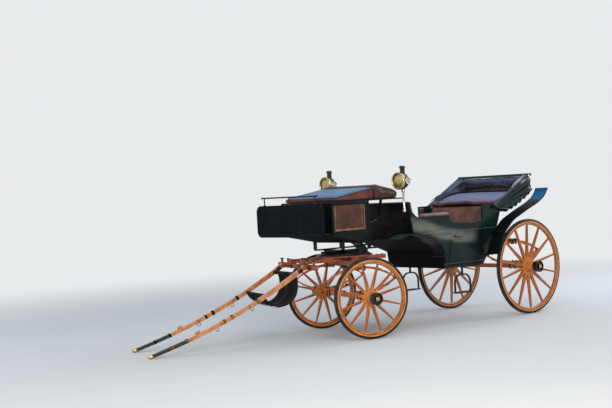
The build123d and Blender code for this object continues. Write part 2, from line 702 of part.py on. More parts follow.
def rear_seat_soft():
    """Make the plain solids of the rear cushion and of the rear back with its top roll."""
    half = BODY_TOP_HALF
    low = REAR_SEAT_TOP + SEAT_BOARD + TRIM_GAP / 2
    squab_front = back_face(low) + BACK_SQUAB_DEPTH
    cushion = block(squab_front, REAR_SEAT_FRONT + CUSHION_NOSE, -half, half, low, low + REAR_CUSHION_DEPTH)
    roll_x = back_face(QUARTER_TOP) + BACK_ROLL_INSET
    squab = side_slab(
        outline(
            (BODY_BACK_TOP, low),
            (squab_front - TRIM_GAP, low),
            (roll_x + BACK_ROLL_RADIUS, QUARTER_TOP),
            (BODY_BACK_TOP, QUARTER_TOP),
        ),
        -half,
        half,
    )
    roll = rod((roll_x, -half, QUARTER_TOP), (roll_x, half, QUARTER_TOP), BACK_ROLL_RADIUS)
    over_back = block(BODY_BACK_TOP - WALL, REAR_SEAT_FRONT, -half, half, QUARTER_TOP + TRIM_GAP, CROWN)
    back = inside_body(squab + roll, TRIM_GAP) + (roll & over_back & body_tunnel(WALL + TRIM_GAP))
    return inside_body(cushion, TRIM_GAP), back


def front_seat_soft():
    """Make the plain solids of the front cushion and of the leaning front back."""
    half = BODY_TOP_HALF
    low = FRONT_SEAT_TOP + TRIM_GAP / 2
    squab_back = front_face(low) - FRONT_SQUAB_DEPTH
    nose = WELL_FRONT - WALL - CUSHION_NOSE
    cushion = block(nose, squab_back, -half, half, low, low + FRONT_CUSHION_DEPTH)
    crest = FRONT_TOP_HEIGHT + FRONT_SQUAB_CREST
    squab = outline(
        (squab_back + TRIM_GAP, low),
        (BODY_FRONT_FOOT, low),
        (front_face(crest), crest),
        (front_face(crest) - FRONT_SQUAB_DEPTH, crest),
    )
    return inside_body(cushion, TRIM_GAP), inside_body(side_slab(squab, -half, half), TRIM_GAP)


def side_rolls():
    """Make the padded half-round rolls on the front quarters' top edges."""
    top = FRONT_QUARTER_TOP
    start = DOOR_FRONT + 2 * DOOR_GAP
    end = BODY_FRONT_TOP - FRONT_SWEEP_LENGTH - TRIM_GAP
    middle = half_width(top) - WALL / 2
    roll = rod((start, middle, top), (end, middle, top), SIDE_ROLL_RADIUS)
    return both_sides(roll - block(0, WHEELBASE, 0, BODY_TOP_HALF * 2, 0, top + TRIM_GAP))


# Hood
def pleats(start, end, count):
    """Make a row of folds that bulge out to the right of the line from start to end."""
    step = (end - start) / count
    outward = Vector(step.Y, -step.X).normalized() * HOOD_PLEAT_DEPTH
    folds = []
    for number in range(count):
        near = start + step * number
        folds.append(ThreePointArc(near, near + step / 2 + outward, near + step))
    return folds


def hood_cover():
    """Make the folded leather as a tray with pleats along its back and below, open at the front."""
    low_corner = HOOD_CORNER - Vector(HOOD_BACK_BULGE, HOOD_BACK_DROP)
    foot = Vector(BODY_BACK_TOP - HOOD_FOOT_GAP, QUARTER_TOP - HOOD_FOOT_DROP)
    edges = [Line(HOOD_PIVOT, HOOD_CORNER), Line(foot, HOOD_PIVOT)]
    edges += pleats(HOOD_CORNER, low_corner, HOOD_PLEATS_BEHIND)
    edges += pleats(low_corner, foot, HOOD_PLEATS_BELOW)
    bottom = QUARTER_TOP - HOOD_FOOT_DROP - HOOD_RISE
    top = HOOD_CORNER.Y + HOOD_RISE
    front = HOOD_PIVOT.X + HOOD_REACH
    inside = outline(
        (front, bottom),
        (front, top),
        (HOOD_CORNER.X + HOOD_BACK_PACK, top),
        (HOOD_CORNER.X + HOOD_BACK_PACK, low_corner.Y + HOOD_LOW_PACK),
        (BODY_BACK_TOP - WALL, foot.Y + HOOD_LOW_PACK),
        (BODY_BACK_TOP - WALL, bottom),
    )
    inner_half = BODY_TOP_HALF + HOOD_SIDE_GAP
    cover = side_slab(make_face(edges), -HOOD_HALF, HOOD_HALF) - side_slab(inside, -inner_half, inner_half)
    return cover - hood_pin(-HOOD_HALF, HOOD_HALF, HOOD_PIN_RADIUS + HOOD_PIN_CLEARANCE)


def hood_pin(low, high, radius):
    """Make a round bar along Y through the hood's pivot."""
    return rod((HOOD_PIVOT.X, low, HOOD_PIVOT.Y), (HOOD_PIVOT.X, high, HOOD_PIVOT.Y), radius)


def hood_bow():
    """Make the top bow over the cover's edge and two side bows that fan out from each pivot."""
    inner_half = BODY_TOP_HALF + HOOD_SIDE_GAP
    outer_half = HOOD_HALF + BOW_STANDOUT
    along = (HOOD_CORNER - HOOD_PIVOT).normalized()
    up = Vector(-along.Y, along.X) * (-1 if along.X < 0 else 1)
    near = up * TRIM_GAP
    far = up * (TRIM_GAP + BOW_DEPTH)
    leg = outline(HOOD_PIVOT + near, HOOD_PIVOT + far, HOOD_CORNER + far, HOOD_CORNER + near)
    legs = side_slab(leg, inner_half, outer_half)
    corner = HOOD_CORNER + near
    bar = block(
        corner.X - BOW_BAR_WIDTH / 2, corner.X + BOW_BAR_WIDTH / 2, -outer_half, outer_half,
        corner.Y + TRIM_GAP, corner.Y + TRIM_GAP + BOW_DEPTH,
    )
    legs += hood_pin(HOOD_HALF, outer_half, HOOD_BOSS_RADIUS)
    legs += hood_pin(BODY_BOTTOM_HALF, outer_half, HOOD_PIN_RADIUS) - body_tunnel(0)
    for share in SIDE_BOW_SHARES:
        tip = HOOD_CORNER + Vector(HOOD_BACK_BULGE, -HOOD_BACK_DROP * share)
        legs += side_slab(trace(Line(HOOD_PIVOT, tip), SIDE_BOW_WIDTH), HOOD_HALF, outer_half)
    return both_sides(legs) + bar


# Fenders
def around_wheel(axle_x, wheel_radius, angle, beyond):
    """Give the (X, Z) of a point at an angle round a wheel and a distance beyond its tyre."""
    reach = wheel_radius + beyond
    direction = math.radians(angle)
    return axle_x + reach * math.cos(direction), wheel_radius + reach * math.sin(direction)


def fender(path, axle_x, wheel_radius):
    """Make a left fender blade round a wheel, with a thick bead along its outer edge."""
    points = [around_wheel(axle_x, wheel_radius, angle, beyond) for angle, beyond, _ in path]
    line = FilletPolyline(*points, radius=[radius for _, _, radius in path[1:-1]])
    inner = half_width(QUARTER_TOP) + FENDER_INSET
    outer = inner + FENDER_WIDTH
    blade = side_slab(trace(line, FENDER_THICKNESS), inner, outer)
    bead = side_slab(trace(line, FENDER_EDGE), outer - FENDER_THICKNESS, outer)
    return blade + bead, points


def fender_stay(start, end):
    """Make a round stay between a point of the body or its irons and a fender's blade."""
    return rod(start, end, FENDER_STAY_RADIUS)


def rear_fenders():
    """Make the rear fenders with the stays that hold them to the body sides."""
    blade, points = fender(REAR_FENDER_PATH, 0, REAR_WHEEL_RADIUS)
    reach = half_width(QUARTER_TOP) + FENDER_INSET + FENDER_WIDTH / 2
    for knot in REAR_STAY_KNOTS:
        x, z = points[knot]
        blade += fender_stay((x, BODY_BOTTOM_HALF, z), (x, reach, z))
    return both_sides(blade - body_tunnel(0))


def front_fenders():
    """Make the front fenders with the stays that hold them to the body sides and seat posts."""
    blade, points = fender(FRONT_FENDER_PATH, WHEELBASE, FRONT_WHEEL_RADIUS)
    reach = half_width(QUARTER_TOP) + FENDER_INSET + FENDER_WIDTH / 2
    for knot in FRONT_STAY_KNOTS:
        x, z = points[knot]
        blade += fender_stay((x, BODY_BOTTOM_HALF, z), (x, reach, z))
    blade -= body_tunnel(0)
    x, z = points[0]
    blade += fender_stay((x, (FRONT_IRON_SPREAD + SEAT_POST) / 2, z), (x, reach, z))
    return both_sides(blade)


# Driver's box
def driver_box():
    """Make the closed box under the driver, with mouldings and a recess in each side for its panel."""
    profile = outline(
        (BOX_BACK, BOX_TOP - BOX_BACK_DEPTH),
        (BOX_FRONT, BOX_TOP - BOX_FRONT_DEPTH),
        (BOX_FRONT, BOX_TOP),
        (BOX_BACK, BOX_TOP),
    )
    box = side_slab(profile, -BOX_HALF, BOX_HALF)
    half = BOX_HALF + BOX_MOULDING
    panel_bottom = BOX_TOP - BOX_PANEL_MARGIN - BOX_PANEL_HEIGHT
    for low in (panel_bottom - BOX_MOULDING_HEIGHT - BOX_MOULDING, BOX_TOP - BOX_MOULDING_HEIGHT):
        box += block(BOX_BACK - BOX_MOULDING, BOX_FRONT, -half, half, low, low + BOX_MOULDING_HEIGHT)
    return box - box_panels(0)


def box_panels(gap):
    """Make the two leather side panels, each with a gap round its edge."""
    high = BOX_TOP - BOX_PANEL_MARGIN
    panel = block(
        BOX_BACK + BOX_PANEL_MARGIN + gap,
        BOX_FRONT - BOX_PANEL_MARGIN - gap,
        BOX_HALF - BOX_PANEL_DEPTH,
        BOX_HALF,
        high - BOX_PANEL_HEIGHT + gap,
        high - gap,
    )
    return both_sides(panel)


def dash():
    """Make the rimmed dashboard with round corners and the footboard behind it."""
    middle = Pos(0, (DASH_BOTTOM + DASH_TOP) / 2)
    height = DASH_TOP - DASH_BOTTOM
    rim = 2 * DASH_RIM
    plate = middle * RectangleRounded(2 * DASH_HALF, height, DASH_CORNER)
    field = middle * RectangleRounded(2 * DASH_HALF - rim, height - rim, DASH_CORNER - DASH_RIM)
    face = DASH_PLACE + DASH_THICKNESS
    board = cross_slab(plate, DASH_PLACE, face)
    board += cross_slab(plate - field, face, face + DASH_RIM_LIP)
    foot = block(BOX_FRONT, DASH_PLACE, -BOX_HALF, BOX_HALF, DASH_BOTTOM, DASH_BOTTOM + FOOTBOARD_THICKNESS)
    return board + foot


def rein_rail():
    """Make the rail above the dashboard on its posts."""
    middle = DASH_PLACE + DASH_THICKNESS / 2
    rail = rod((middle, -RAIL_HALF, RAIL_HEIGHT), (middle, RAIL_HALF, RAIL_HEIGHT), RAIL_RADIUS)
    span = 2 * (RAIL_HALF - RAIL_POST_INSET)
    for number in range(RAIL_POSTS):
        place = span * (number / (RAIL_POSTS - 1) - 0.5)
        rail += rod((middle, place, DASH_TOP), (middle, place, RAIL_HEIGHT), RAIL_POST_RADIUS)
    return rail


def driver_cushions():
    """Make the plain solids of the driver's wedge cushion and of the bolster behind it."""
    wedge = outline(
        (CUSHION_BACK, CUSHION_BOTTOM),
        (CUSHION_FRONT, CUSHION_BOTTOM),
        (CUSHION_FRONT, BOX_TOP + CUSHION_FRONT_DEPTH),
        (CUSHION_BACK, BOX_TOP + CUSHION_BACK_DEPTH),
    )
    bolster = outline(
        (BOLSTER_BACK, CUSHION_BOTTOM),
        (BOLSTER_FRONT, CUSHION_BOTTOM),
        (BOLSTER_FRONT, BOX_TOP + BOLSTER_FRONT_DEPTH),
        (BOLSTER_BACK, BOX_TOP + BOLSTER_BACK_DEPTH),
    )
    return side_slab(wedge, -CUSHION_HALF, CUSHION_HALF), side_slab(bolster, -CUSHION_HALF, CUSHION_HALF)


def seat_irons():
    """Make the plate under the driver's cushions and the posts and braces that carry its back."""
    plate_back = BOLSTER_BACK + SEAT_PLATE_INSET
    plate = block(plate_back, BOX_FRONT, -BOX_HALF, BOX_HALF, BOX_TOP, BOX_TOP + SEAT_PLATE)
    inner = (FRONT_IRON_SPREAD - SEAT_POST) / 2
    outer = inner + SEAT_POST
    angle, beyond, _ = FRONT_FENDER_PATH[0]
    post_x, _ = around_wheel(WHEELBASE, FRONT_WHEEL_RADIUS, angle, beyond)
    half = SEAT_POST / 2
    post = block(post_x - half, post_x + half, inner, outer, UPPER_BEAM_TOP + IRON_THICKNESS, BOX_TOP)
    brace_foot = plate_back + BRACE_INSET
    brace = band(
        (
            (post_x, BOX_TOP - BRACE_DROP),
            (brace_foot + BRACE_LENGTH, BOX_TOP - BRACE_DROP + BRACE_SAG),
            (brace_foot, BOX_TOP + SEAT_PLATE / 2),
        ),
        [BRACE_RADIUS],
        inner,
        outer,
    )
    return plate + both_sides(post + brace)


# Lamps
def lamps():
    """Make the two drum lamps with their chimneys, candle tubes and arms from the seat plate."""
    lens = LAMP_BEZEL_FRONT - LAMP_LENS_RECESS
    drum = turned(
        (0, -LAMP_DRUM_BACK),
        (LAMP_BACK_RADIUS, -LAMP_DRUM_BACK),
        (LAMP_DRUM_RADIUS, LAMP_BACK_RADIUS - LAMP_DRUM_BACK),
        (LAMP_DRUM_RADIUS, LAMP_BEZEL_BACK),
        (LAMP_BEZEL_RADIUS, LAMP_BEZEL_BACK),
        (LAMP_BEZEL_RADIUS, LAMP_BEZEL_FRONT),
        (LAMP_BEZEL_RADIUS - LAMP_BEZEL_WIDTH, LAMP_BEZEL_FRONT),
        (LAMP_BEZEL_RADIUS - LAMP_BEZEL_WIDTH, lens),
        (0, lens),
    )
    cap_base = LAMP_TOP - LAMP_CENTRE - LAMP_CAP_HEIGHT
    socket_end = -LAMP_DRUM_RADIUS - LAMP_SOCKET_LENGTH
    upright = turned(
        (0, LAMP_STEM_FOOT - LAMP_CENTRE),
        (LAMP_STEM_RADIUS, LAMP_STEM_FOOT - LAMP_CENTRE),
        (LAMP_STEM_RADIUS, socket_end),
        (LAMP_SOCKET_RADIUS, socket_end + LAMP_STEM_RADIUS),
        (LAMP_SOCKET_RADIUS, -LAMP_BACK_RADIUS),
        (LAMP_CHIMNEY_RADIUS, -LAMP_BACK_RADIUS),
        (LAMP_CHIMNEY_RADIUS, cap_base),
        (LAMP_CAP_RADIUS, cap_base),
        (LAMP_CHIMNEY_RADIUS, cap_base + LAMP_CAP_HEIGHT),
        (0, cap_base + LAMP_CAP_HEIGHT),
    )
    ball_middle = LAMP_STEM_FOOT - LAMP_CENTRE
    ball = turned(
        (0, ball_middle - LAMP_BALL_RADIUS),
        (LAMP_BALL_RADIUS, ball_middle),
        (0, ball_middle + LAMP_BALL_RADIUS),
    )
    arm_height = BOX_TOP + SEAT_PLATE / 2
    arm_end = (LAMP_PLACE, LAMP_HALF_SPREAD, arm_height)
    arm = rod((LAMP_PLACE, BOX_HALF, arm_height), arm_end, LAMP_ARM_RADIUS)
    lamp = Pos(LAMP_PLACE, LAMP_HALF_SPREAD, LAMP_CENTRE) * (Rot(0, 90, 0) * drum + upright + ball)
    return both_sides(lamp + arm - block(0, WHEELBASE, -BOX_HALF, BOX_HALF, 0, LAMP_TOP))


# Steps and irons
def band(points, radii, low, high):
    """Make a bent flat iron from points (X, Z), corner radii and its Y limits."""
    return side_slab(trace(FilletPolyline(*points, radius=radii), IRON_THICKNESS), low, high)


def door_steps():
    """Make the two stirrup steps that hang on stems under the doors."""
    half = STEP_WIDTH / 2
    rail = STEP_ROD / 2
    arch_top = STEP_TREAD_HEIGHT + STEP_ARCH_HEIGHT
    arch = FilletPolyline(
        (-half, STEP_TREAD_HEIGHT),
        (-half, arch_top),
        (half, arch_top),
        (half, STEP_TREAD_HEIGHT),
        radius=[STEP_ARCH_RADIUS, STEP_ARCH_RADIUS],
    )
    step = side_slab(trace(arch, STEP_ROD), -rail, rail)
    step += rod((0, 0, arch_top), (0, 0, BODY_BOTTOM), STEP_STEM_RADIUS)
    tread = RectangleRounded(STEP_WIDTH + STEP_ROD, STEP_TREAD_DEPTH, STEP_TREAD_CORNER)
    step += Pos(0, 0, STEP_TREAD_HEIGHT - rail) * extrude(tread, amount=rail)
    return both_sides(Pos(STEP_PLACE, STEP_HALF_SPREAD, 0) * step)


def body_irons():
    """Make the flat irons that carry the body on the rear springs and on the turntable."""
    low = REAR_SPRING_SPREAD / 2 - SPRING_WIDTH - IRON_WIDTH
    half = IRON_THICKNESS / 2
    slope_top = BODY_BACK_FOOT - IRON_BEND / 2
    rear = band(
        (
            (BODY_BACK_FOOT + REAR_IRON_LANDING, BODY_BOTTOM - half),
            (slope_top, BODY_BOTTOM - half),
            (slope_top - REAR_IRON_SLOPE, REAR_SPRING_TOP + half),
            (-SPRING_WIDTH, REAR_SPRING_TOP + half),
        ),
        [IRON_BEND, IRON_BEND],
        low,
        low + IRON_WIDTH,
    )
    end = REAR_SPRING_SPREAD / 2 + SPRING_WIDTH
    top = REAR_SPRING_TOP + IRON_THICKNESS
    cross = block(-SPRING_WIDTH, SPRING_WIDTH, -end, end, REAR_SPRING_TOP, top)
    inner = (FRONT_IRON_SPREAD - IRON_WIDTH) / 2
    beam = UPPER_BEAM_TOP + half
    fore = band(
        (
            (BODY_FRONT_FOOT - FRONT_IRON_TAIL, beam + FRONT_IRON_TAIL_RISE),
            (WHEELBASE - FRONT_IRON_LEVEL, beam),
            (WHEELBASE + FRONT_IRON_NOSE, beam),
            (WHEELBASE + FRONT_IRON_NOSE, beam + FRONT_IRON_NOSE_RISE),
        ),
        [IRON_BEND, IRON_THICKNESS],
        inner,
        inner + IRON_WIDTH,
    )
    return both_sides(rear) + cross, both_sides(fore)


# Turntable and fore-carriage
def ring(bottom):
    """Make one of the turntable's flat rings."""
    plate = Circle(RING_RADIUS) - Circle(RING_RADIUS - RING_WIDTH)
    return Pos(0, 0, bottom) * extrude(plate, amount=RING_HEIGHT)


def upper_turntable():
    """Make the ring, cross beams and king pin that are fixed under the carriage."""
    half = UPPER_BEAM_WIDTH / 2
    beams = block(-RING_RADIUS, RING_RADIUS, -half, half, UPPER_RING_TOP, UPPER_BEAM_TOP)
    beams += block(-half, half, -RING_RADIUS, RING_RADIUS, UPPER_RING_TOP, UPPER_BEAM_TOP)
    nut_top = BED_BOTTOM - RING_CLEARANCE
    nut_bottom = nut_top - KING_NUT_HEIGHT
    pin = turned(
        (0, nut_bottom),
        (KING_NUT_RADIUS, nut_bottom),
        (KING_NUT_RADIUS, nut_top),
        (KING_PIN_RADIUS, nut_top),
        (KING_PIN_RADIUS, UPPER_BEAM_TOP),
        (0, UPPER_BEAM_TOP),
    )
    return Pos(*KING_PIN) * (ring(UPPER_RING_BOTTOM) + beams + pin)


def fore_bed():
    """Make the bed over the front springs with its raised pads and the lower ring."""
    half = BED_WIDTH / 2
    bed = block(-half, half, -BED_LENGTH / 2, BED_LENGTH / 2, BED_BOTTOM, BED_TOP)
    for place in (RING_WIDTH - RING_RADIUS, RING_RADIUS):
        bed += block(-half, half, place - RING_WIDTH, place, BED_TOP, FUTCHELL_TOP)
    bore = rod((0, 0, BED_BOTTOM), (0, 0, FUTCHELL_TOP), KING_PIN_RADIUS + KING_PIN_CLEARANCE)
    return bed + ring(FUTCHELL_TOP) - bore


def futchells():
    """Make the two timbers that run forward from the bed to the splinter bar."""
    inner = (FUTCHELL_SPREAD - FUTCHELL_WIDTH) / 2
    timber = block(-FUTCHELL_TAIL, SPLINTER_FRONT, inner, inner + FUTCHELL_WIDTH, BED_TOP, FUTCHELL_TOP)
    return both_sides(timber)


def shaft_hinge():
    """Make the pair of lugs and the pin that hold one shaft, drawn about the middle of its eye."""
    half = SHAFT_WIDTH / 2 + SHAFT_SIDE_CLEARANCE
    low = BED_TOP - SPLINTER_BAR_HEIGHT
    round_end = SPLINTER_BAR_HEIGHT / 2
    hinge = rod((HINGE_REACH, -half, HINGE_HEIGHT), (HINGE_REACH, half, HINGE_HEIGHT), SHAFT_PIN_RADIUS)
    for inner in (-half - SHAFT_LUG_WIDTH, half):
        outer = inner + SHAFT_LUG_WIDTH
        hinge += block(SPLINTER_FRONT - LUG_SEAT, HINGE_REACH, inner, outer, low, BED_TOP)
        hinge += rod((HINGE_REACH, inner, HINGE_HEIGHT), (HINGE_REACH, outer, HINGE_HEIGHT), round_end)
    return hinge


def splinter_bar():
    """Make the capped bar with its trace pins and the hinges of the shafts."""
    half = SPLINTER_BAR_LENGTH / 2
    back = SPLINTER_FRONT - SPLINTER_BAR_WIDTH
    low = BED_TOP - SPLINTER_BAR_HEIGHT
    bar = block(back, SPLINTER_FRONT, -half, half, low, BED_TOP)
    lip = SPLINTER_CAP_LIP
    fittings = block(
        back - lip, SPLINTER_FRONT + lip, half - SPLINTER_CAP_LENGTH, half + lip, low - lip, BED_TOP + lip
    )
    middle = (SPLINTER_FRONT + back) / 2
    pin_top = BED_TOP + TRACE_PIN_HEIGHT
    for place in (half - TRACE_PIN_INSET, FUTCHELL_SPREAD / 2 + INNER_PIN_GAP):
        fittings += rod((middle, place, BED_TOP), (middle, place, pin_top), TRACE_PIN_RADIUS)
    fittings += Pos(0, SHAFT_SPREAD / 2, 0) * shaft_hinge()
    return bar + both_sides(fittings)


# Shafts, drawn level with their hinge at the origin
def shaft_frame(shape):
    """Lower a shape drawn along the shafts so that their tips rest on the ground."""
    return to_gear(Pos(HINGE_REACH, 0, HINGE_HEIGHT) * Rot(0, SHAFT_DROP, 0) * shape)


def sag_at(place):
    """Give how far the shafts' curve hangs below its chord at a distance from the hinge."""
    share = place / SHAFT_LENGTH
    return -4 * SHAFT_SAG * share * (1 - share)


def shafts():
    """Make the pair of curved shafts with their eyes, cross bars and tug stops."""
    root = SHAFT_ROOT_DEPTH / 2
    tip = SHAFT_TIP_DEPTH / 2
    middle = (root + tip) / 2
    centre_x = SHAFT_LENGTH / 2
    upper = ThreePointArc((0, root), (centre_x, middle - SHAFT_SAG), (SHAFT_LENGTH, tip))
    end = Line((SHAFT_LENGTH, tip), (SHAFT_LENGTH, -tip))
    lower = ThreePointArc((SHAFT_LENGTH, -tip), (centre_x, -SHAFT_SAG - middle), (0, -root))
    butt = Line((0, -root), (0, root))
    side = SHAFT_WIDTH / 2
    timber = side_slab(make_face([upper, end, lower, butt]), -side, side)
    timber += rod((0, -side, 0), (0, side, 0), SHAFT_EYE_RADIUS)
    timber -= rod((0, -SHAFT_WIDTH, 0), (0, SHAFT_WIDTH, 0), SHAFT_PIN_RADIUS + SHAFT_PIN_CLEARANCE)
    stop_z = sag_at(TUG_STOP_PLACE)
    stop = block(
        TUG_STOP_PLACE, TUG_STOP_PLACE + TUG_STOP_LENGTH, -TUG_STOP_WIDTH / 2, TUG_STOP_WIDTH / 2,
        stop_z, stop_z + middle + TUG_STOP_HEIGHT,
    )
    half = SHAFT_SPREAD / 2
    pair = both_sides(Pos(0, half, 0) * (timber + stop))
    inner = half - side
    for place, radius in ((SHAFT_BAR_PLACE, SHAFT_BAR_RADIUS), (SLING_FRONT_PLACE, SLING_ROD_RADIUS)):
        z = sag_at(place)
        pair += rod((place, -inner, z), (place, inner, z), radius)
    return shaft_frame(pair)


def sling():
    """Make the leather sling that sags between the shafts' two cross bars."""
    back = Vector(SHAFT_BAR_PLACE, sag_at(SHAFT_BAR_PLACE) - SHAFT_BAR_RADIUS)
    front = Vector(SLING_FRONT_PLACE, sag_at(SLING_FRONT_PLACE) - SLING_ROD_RADIUS)
    middle = (back.X + front.X) / 2
    low = Vector(middle, min(back.Y, front.Y) - SLING_DEPTH)
    sheet = trace(ThreePointArc(back, low, front), SLING_THICKNESS)
    half = SHAFT_SPREAD / 2 - SHAFT_WIDTH / 2 - SLING_MARGIN
    deep = low.Y - SLING_DEPTH
    clear = block(back.X - SLING_DEPTH, middle, -half, half, deep, back.Y - SLING_GAP)
    clear += block(middle, front.X + SLING_DEPTH, -half, half, deep, front.Y - SLING_GAP)
    return shaft_frame(side_slab(sheet, -half, half) & clear)


# The whole carriage
def wheel_nodes():
    """Make the pieces of the four wheels at their hubs, each wheel's outer side out."""
    nodes = {}
    rear_wheel = wheel_pieces(REAR_WHEEL_RADIUS, REAR_SPOKES, REAR_CAP_REACH)
    front_wheel = wheel_pieces(FRONT_WHEEL_RADIUS, FRONT_SPOKES, FRONT_CAP_REACH)
    for label, side in (("left", 1), ("right", -1)):
        rear_hub = Pos(0, side * REAR_TRACK / 2, REAR_WHEEL_RADIUS) * Rot(-90 * side, 0, 0)
        front_hub = Pos(0, side * FRONT_TRACK / 2, FRONT_WHEEL_RADIUS) * Rot(-90 * side, 0, 0)
        for piece, rear, front in zip(("wheel", "tyre", "hub_cap"), rear_wheel, front_wheel):
            nodes[f"{piece}_rear_{label}"] = rear_hub * rear
            nodes[f"{piece}_front_{label}"] = to_gear(front_hub * front)
    return nodes


def body_nodes():
    """Make the body's panels, doors, handles, seats and soft parts."""
    side, door = body_side()
    for rise in HINGE_RISES:
        side += hinge_leaf(rise, -HINGE_KNUCKLE, -HINGE_GAP / 2, -1)
        door += hinge_leaf(rise, HINGE_GAP / 2, HINGE_KNUCKLE, 1)
    nodes = {}
    for name, left in (("body_side", side), ("door", door), ("door_handle", door_handle())):
        nodes[f"{name}_left"] = left
        nodes[f"{name}_right"] = mirror(left, about=Plane.XZ)
    nodes["body_back"], nodes["body_floor"], nodes["body_front"] = body_strip()
    nodes["seat_boards"] = seat_boards()
    nodes["rear_seat_cushion"], nodes["rear_seat_back"] = rear_seat_soft()
    nodes["front_seat_cushion"], nodes["front_seat_back"] = front_seat_soft()
    nodes["side_rolls"] = side_rolls()
    nodes["hood_cover"] = hood_cover()
    nodes["hood_bow"] = hood_bow()
    nodes["rear_fenders"] = rear_fenders()
    nodes["front_fenders"] = front_fenders()
    return nodes


def driver_nodes():
    """Make the driver's box, its seat, lamps and dashboard, and the steps and body irons."""
    nodes = {
        "driver_box": driver_box(),
        "box_panels": box_panels(TRIM_GAP),
        "dashboard": dash(),
        "rein_rail": rein_rail(),
        "seat_irons": seat_irons(),
        "lamps": lamps(),
        "door_steps": door_steps(),
    }
    nodes["driver_cushion"], nodes["driver_bolster"] = driver_cushions()
    nodes["rear_irons"], nodes["front_irons"] = body_irons()
    return nodes


def gear_nodes():
    """Make the axles, springs, turntable, fore-carriage and shafts."""
    rear_springs = elliptic_spring(
        REAR_SPRING_LENGTH, REAR_SPRING_HEIGHT, REAR_SPRING_SPREAD, REAR_SPRING_SEAT
    )
    front_springs = elliptic_spring(
        FRONT_SPRING_LENGTH, FRONT_SPRING_HEIGHT, FRONT_SPRING_SPREAD, FRONT_SPRING_SEAT
    )
    return {
        "rear_axle": axle(REAR_TRACK, REAR_CAP_REACH, REAR_WHEEL_RADIUS),
        "rear_springs": rear_springs,
        "upper_turntable": upper_turntable(),
        "front_axle": to_gear(axle(FRONT_TRACK, FRONT_CAP_REACH, FRONT_WHEEL_RADIUS)),
        "front_springs": to_gear(front_springs),
        "fore_bed": to_gear(fore_bed()),
        "futchells": to_gear(futchells()),
        "splinter_bar": to_gear(splinter_bar()),
        "shafts": shafts(),
        "sling": sling(),
    }


def centred(nodes):
    """Move all nodes so that the middle of the carriage's floor area is the origin."""
    solids = [solid for shape in nodes.values() for solid in shape.solids()]
    middle = Compound(children=solids).bounding_box().center()
    shift = Pos(-round(middle.X), -round(middle.Y), 0)
    return {name: shift * shape for name, shape in nodes.items()}, shift


NODES, SHIFT = centred({**body_nodes(), **driver_nodes(), **gear_nodes(), **wheel_nodes()})
os.makedirs("parts", exist_ok=True)
for node_name, node_shape in NODES.items():
    export_step(node_shape, f"parts/{node_name}.step")
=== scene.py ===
"""Dress the open landau carriage: leather, lining, lacquer, striping, glass, brass and light.

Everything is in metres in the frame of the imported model: +X forward, +Y the carriage's left
side, +Z up. Sizes named in carriage places count X from the rear axle and Z from the ground.
"""

import logging
import math
from collections.abc import Callable, Iterable, Sequence
from dataclasses import dataclass, field
from enum import Enum

import bmesh
import bpy
from mathutils import Matrix, Vector, noise
from mathutils.bvhtree import BVHTree


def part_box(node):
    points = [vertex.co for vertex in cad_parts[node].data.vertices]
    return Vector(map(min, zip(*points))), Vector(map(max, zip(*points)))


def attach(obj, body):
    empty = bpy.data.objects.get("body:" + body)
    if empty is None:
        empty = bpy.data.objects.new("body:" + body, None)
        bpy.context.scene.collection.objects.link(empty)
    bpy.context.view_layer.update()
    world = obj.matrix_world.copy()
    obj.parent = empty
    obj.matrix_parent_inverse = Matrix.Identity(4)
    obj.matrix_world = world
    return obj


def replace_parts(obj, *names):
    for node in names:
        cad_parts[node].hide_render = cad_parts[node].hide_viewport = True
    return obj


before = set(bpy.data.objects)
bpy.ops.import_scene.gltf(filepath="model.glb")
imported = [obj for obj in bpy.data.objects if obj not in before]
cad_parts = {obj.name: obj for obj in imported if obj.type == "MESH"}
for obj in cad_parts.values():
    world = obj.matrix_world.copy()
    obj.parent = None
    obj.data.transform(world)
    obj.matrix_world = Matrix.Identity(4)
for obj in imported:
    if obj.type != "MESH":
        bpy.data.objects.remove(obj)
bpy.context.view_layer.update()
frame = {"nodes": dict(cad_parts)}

LOG = logging.getLogger("landau")
Point = tuple[float, float, float]
Flat = tuple[float, float]
Colour = tuple[float, float, float]
Rows = Sequence[Sequence[Vector]]
STEER_AT_REST = math.radians(-15.8)
IMAGE_WIDTH = 612
AXIS_GAP = 0.00005


def vec(x: float, y: float, z: float) -> Vector:
    """Return the vector of three parts."""
    return Vector((x, y, z))


def middle_of(node: str) -> Vector:
    """Return the middle of a CAD node's box."""
    low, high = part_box(node)
    return (Vector(low) + Vector(high)) / 2


AXLE_MIDDLE = middle_of("rear_axle")
ORIGIN = vec(AXLE_MIDDLE.x, AXLE_MIDDLE.y, 0.0)
GEAR_MIDDLE = middle_of("upper_turntable")
SHAFT_HINGE = (0.6, 0.0, 0.7735)
SHAFT_DROP = math.radians(23.984)
COACH_FRAME = Matrix.Translation(ORIGIN)
GEAR_FRAME = Matrix.Translation((GEAR_MIDDLE.x, GEAR_MIDDLE.y, 0.0)) @ Matrix.Rotation(STEER_AT_REST, 4, "Z")
SHAFT_FRAME = GEAR_FRAME @ Matrix.Translation(SHAFT_HINGE) @ Matrix.Rotation(SHAFT_DROP, 4, "Y")


def at(x: float, y: float, z: float) -> Vector:
    """Turn a carriage place into a point of the model's frame."""
    return ORIGIN + vec(x, y, z)


def span_of(node: str) -> tuple[float, float, float, float, float]:
    """Return the ends of a CAD node's box in carriage X and Z, and half its width."""
    low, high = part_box(node)
    return low[0] - ORIGIN.x, high[0] - ORIGIN.x, low[2], high[2], (high[1] - low[1]) / 2


def rgb(*levels: int) -> Colour:
    """Turn a screen colour of 0 to 255 into the linear colour that a shader takes."""
    shares = (level / 255 for level in levels)
    return tuple(s / 12.92 if s <= 0.04045 else ((s + 0.055) / 1.055) ** 2.4 for s in shares)


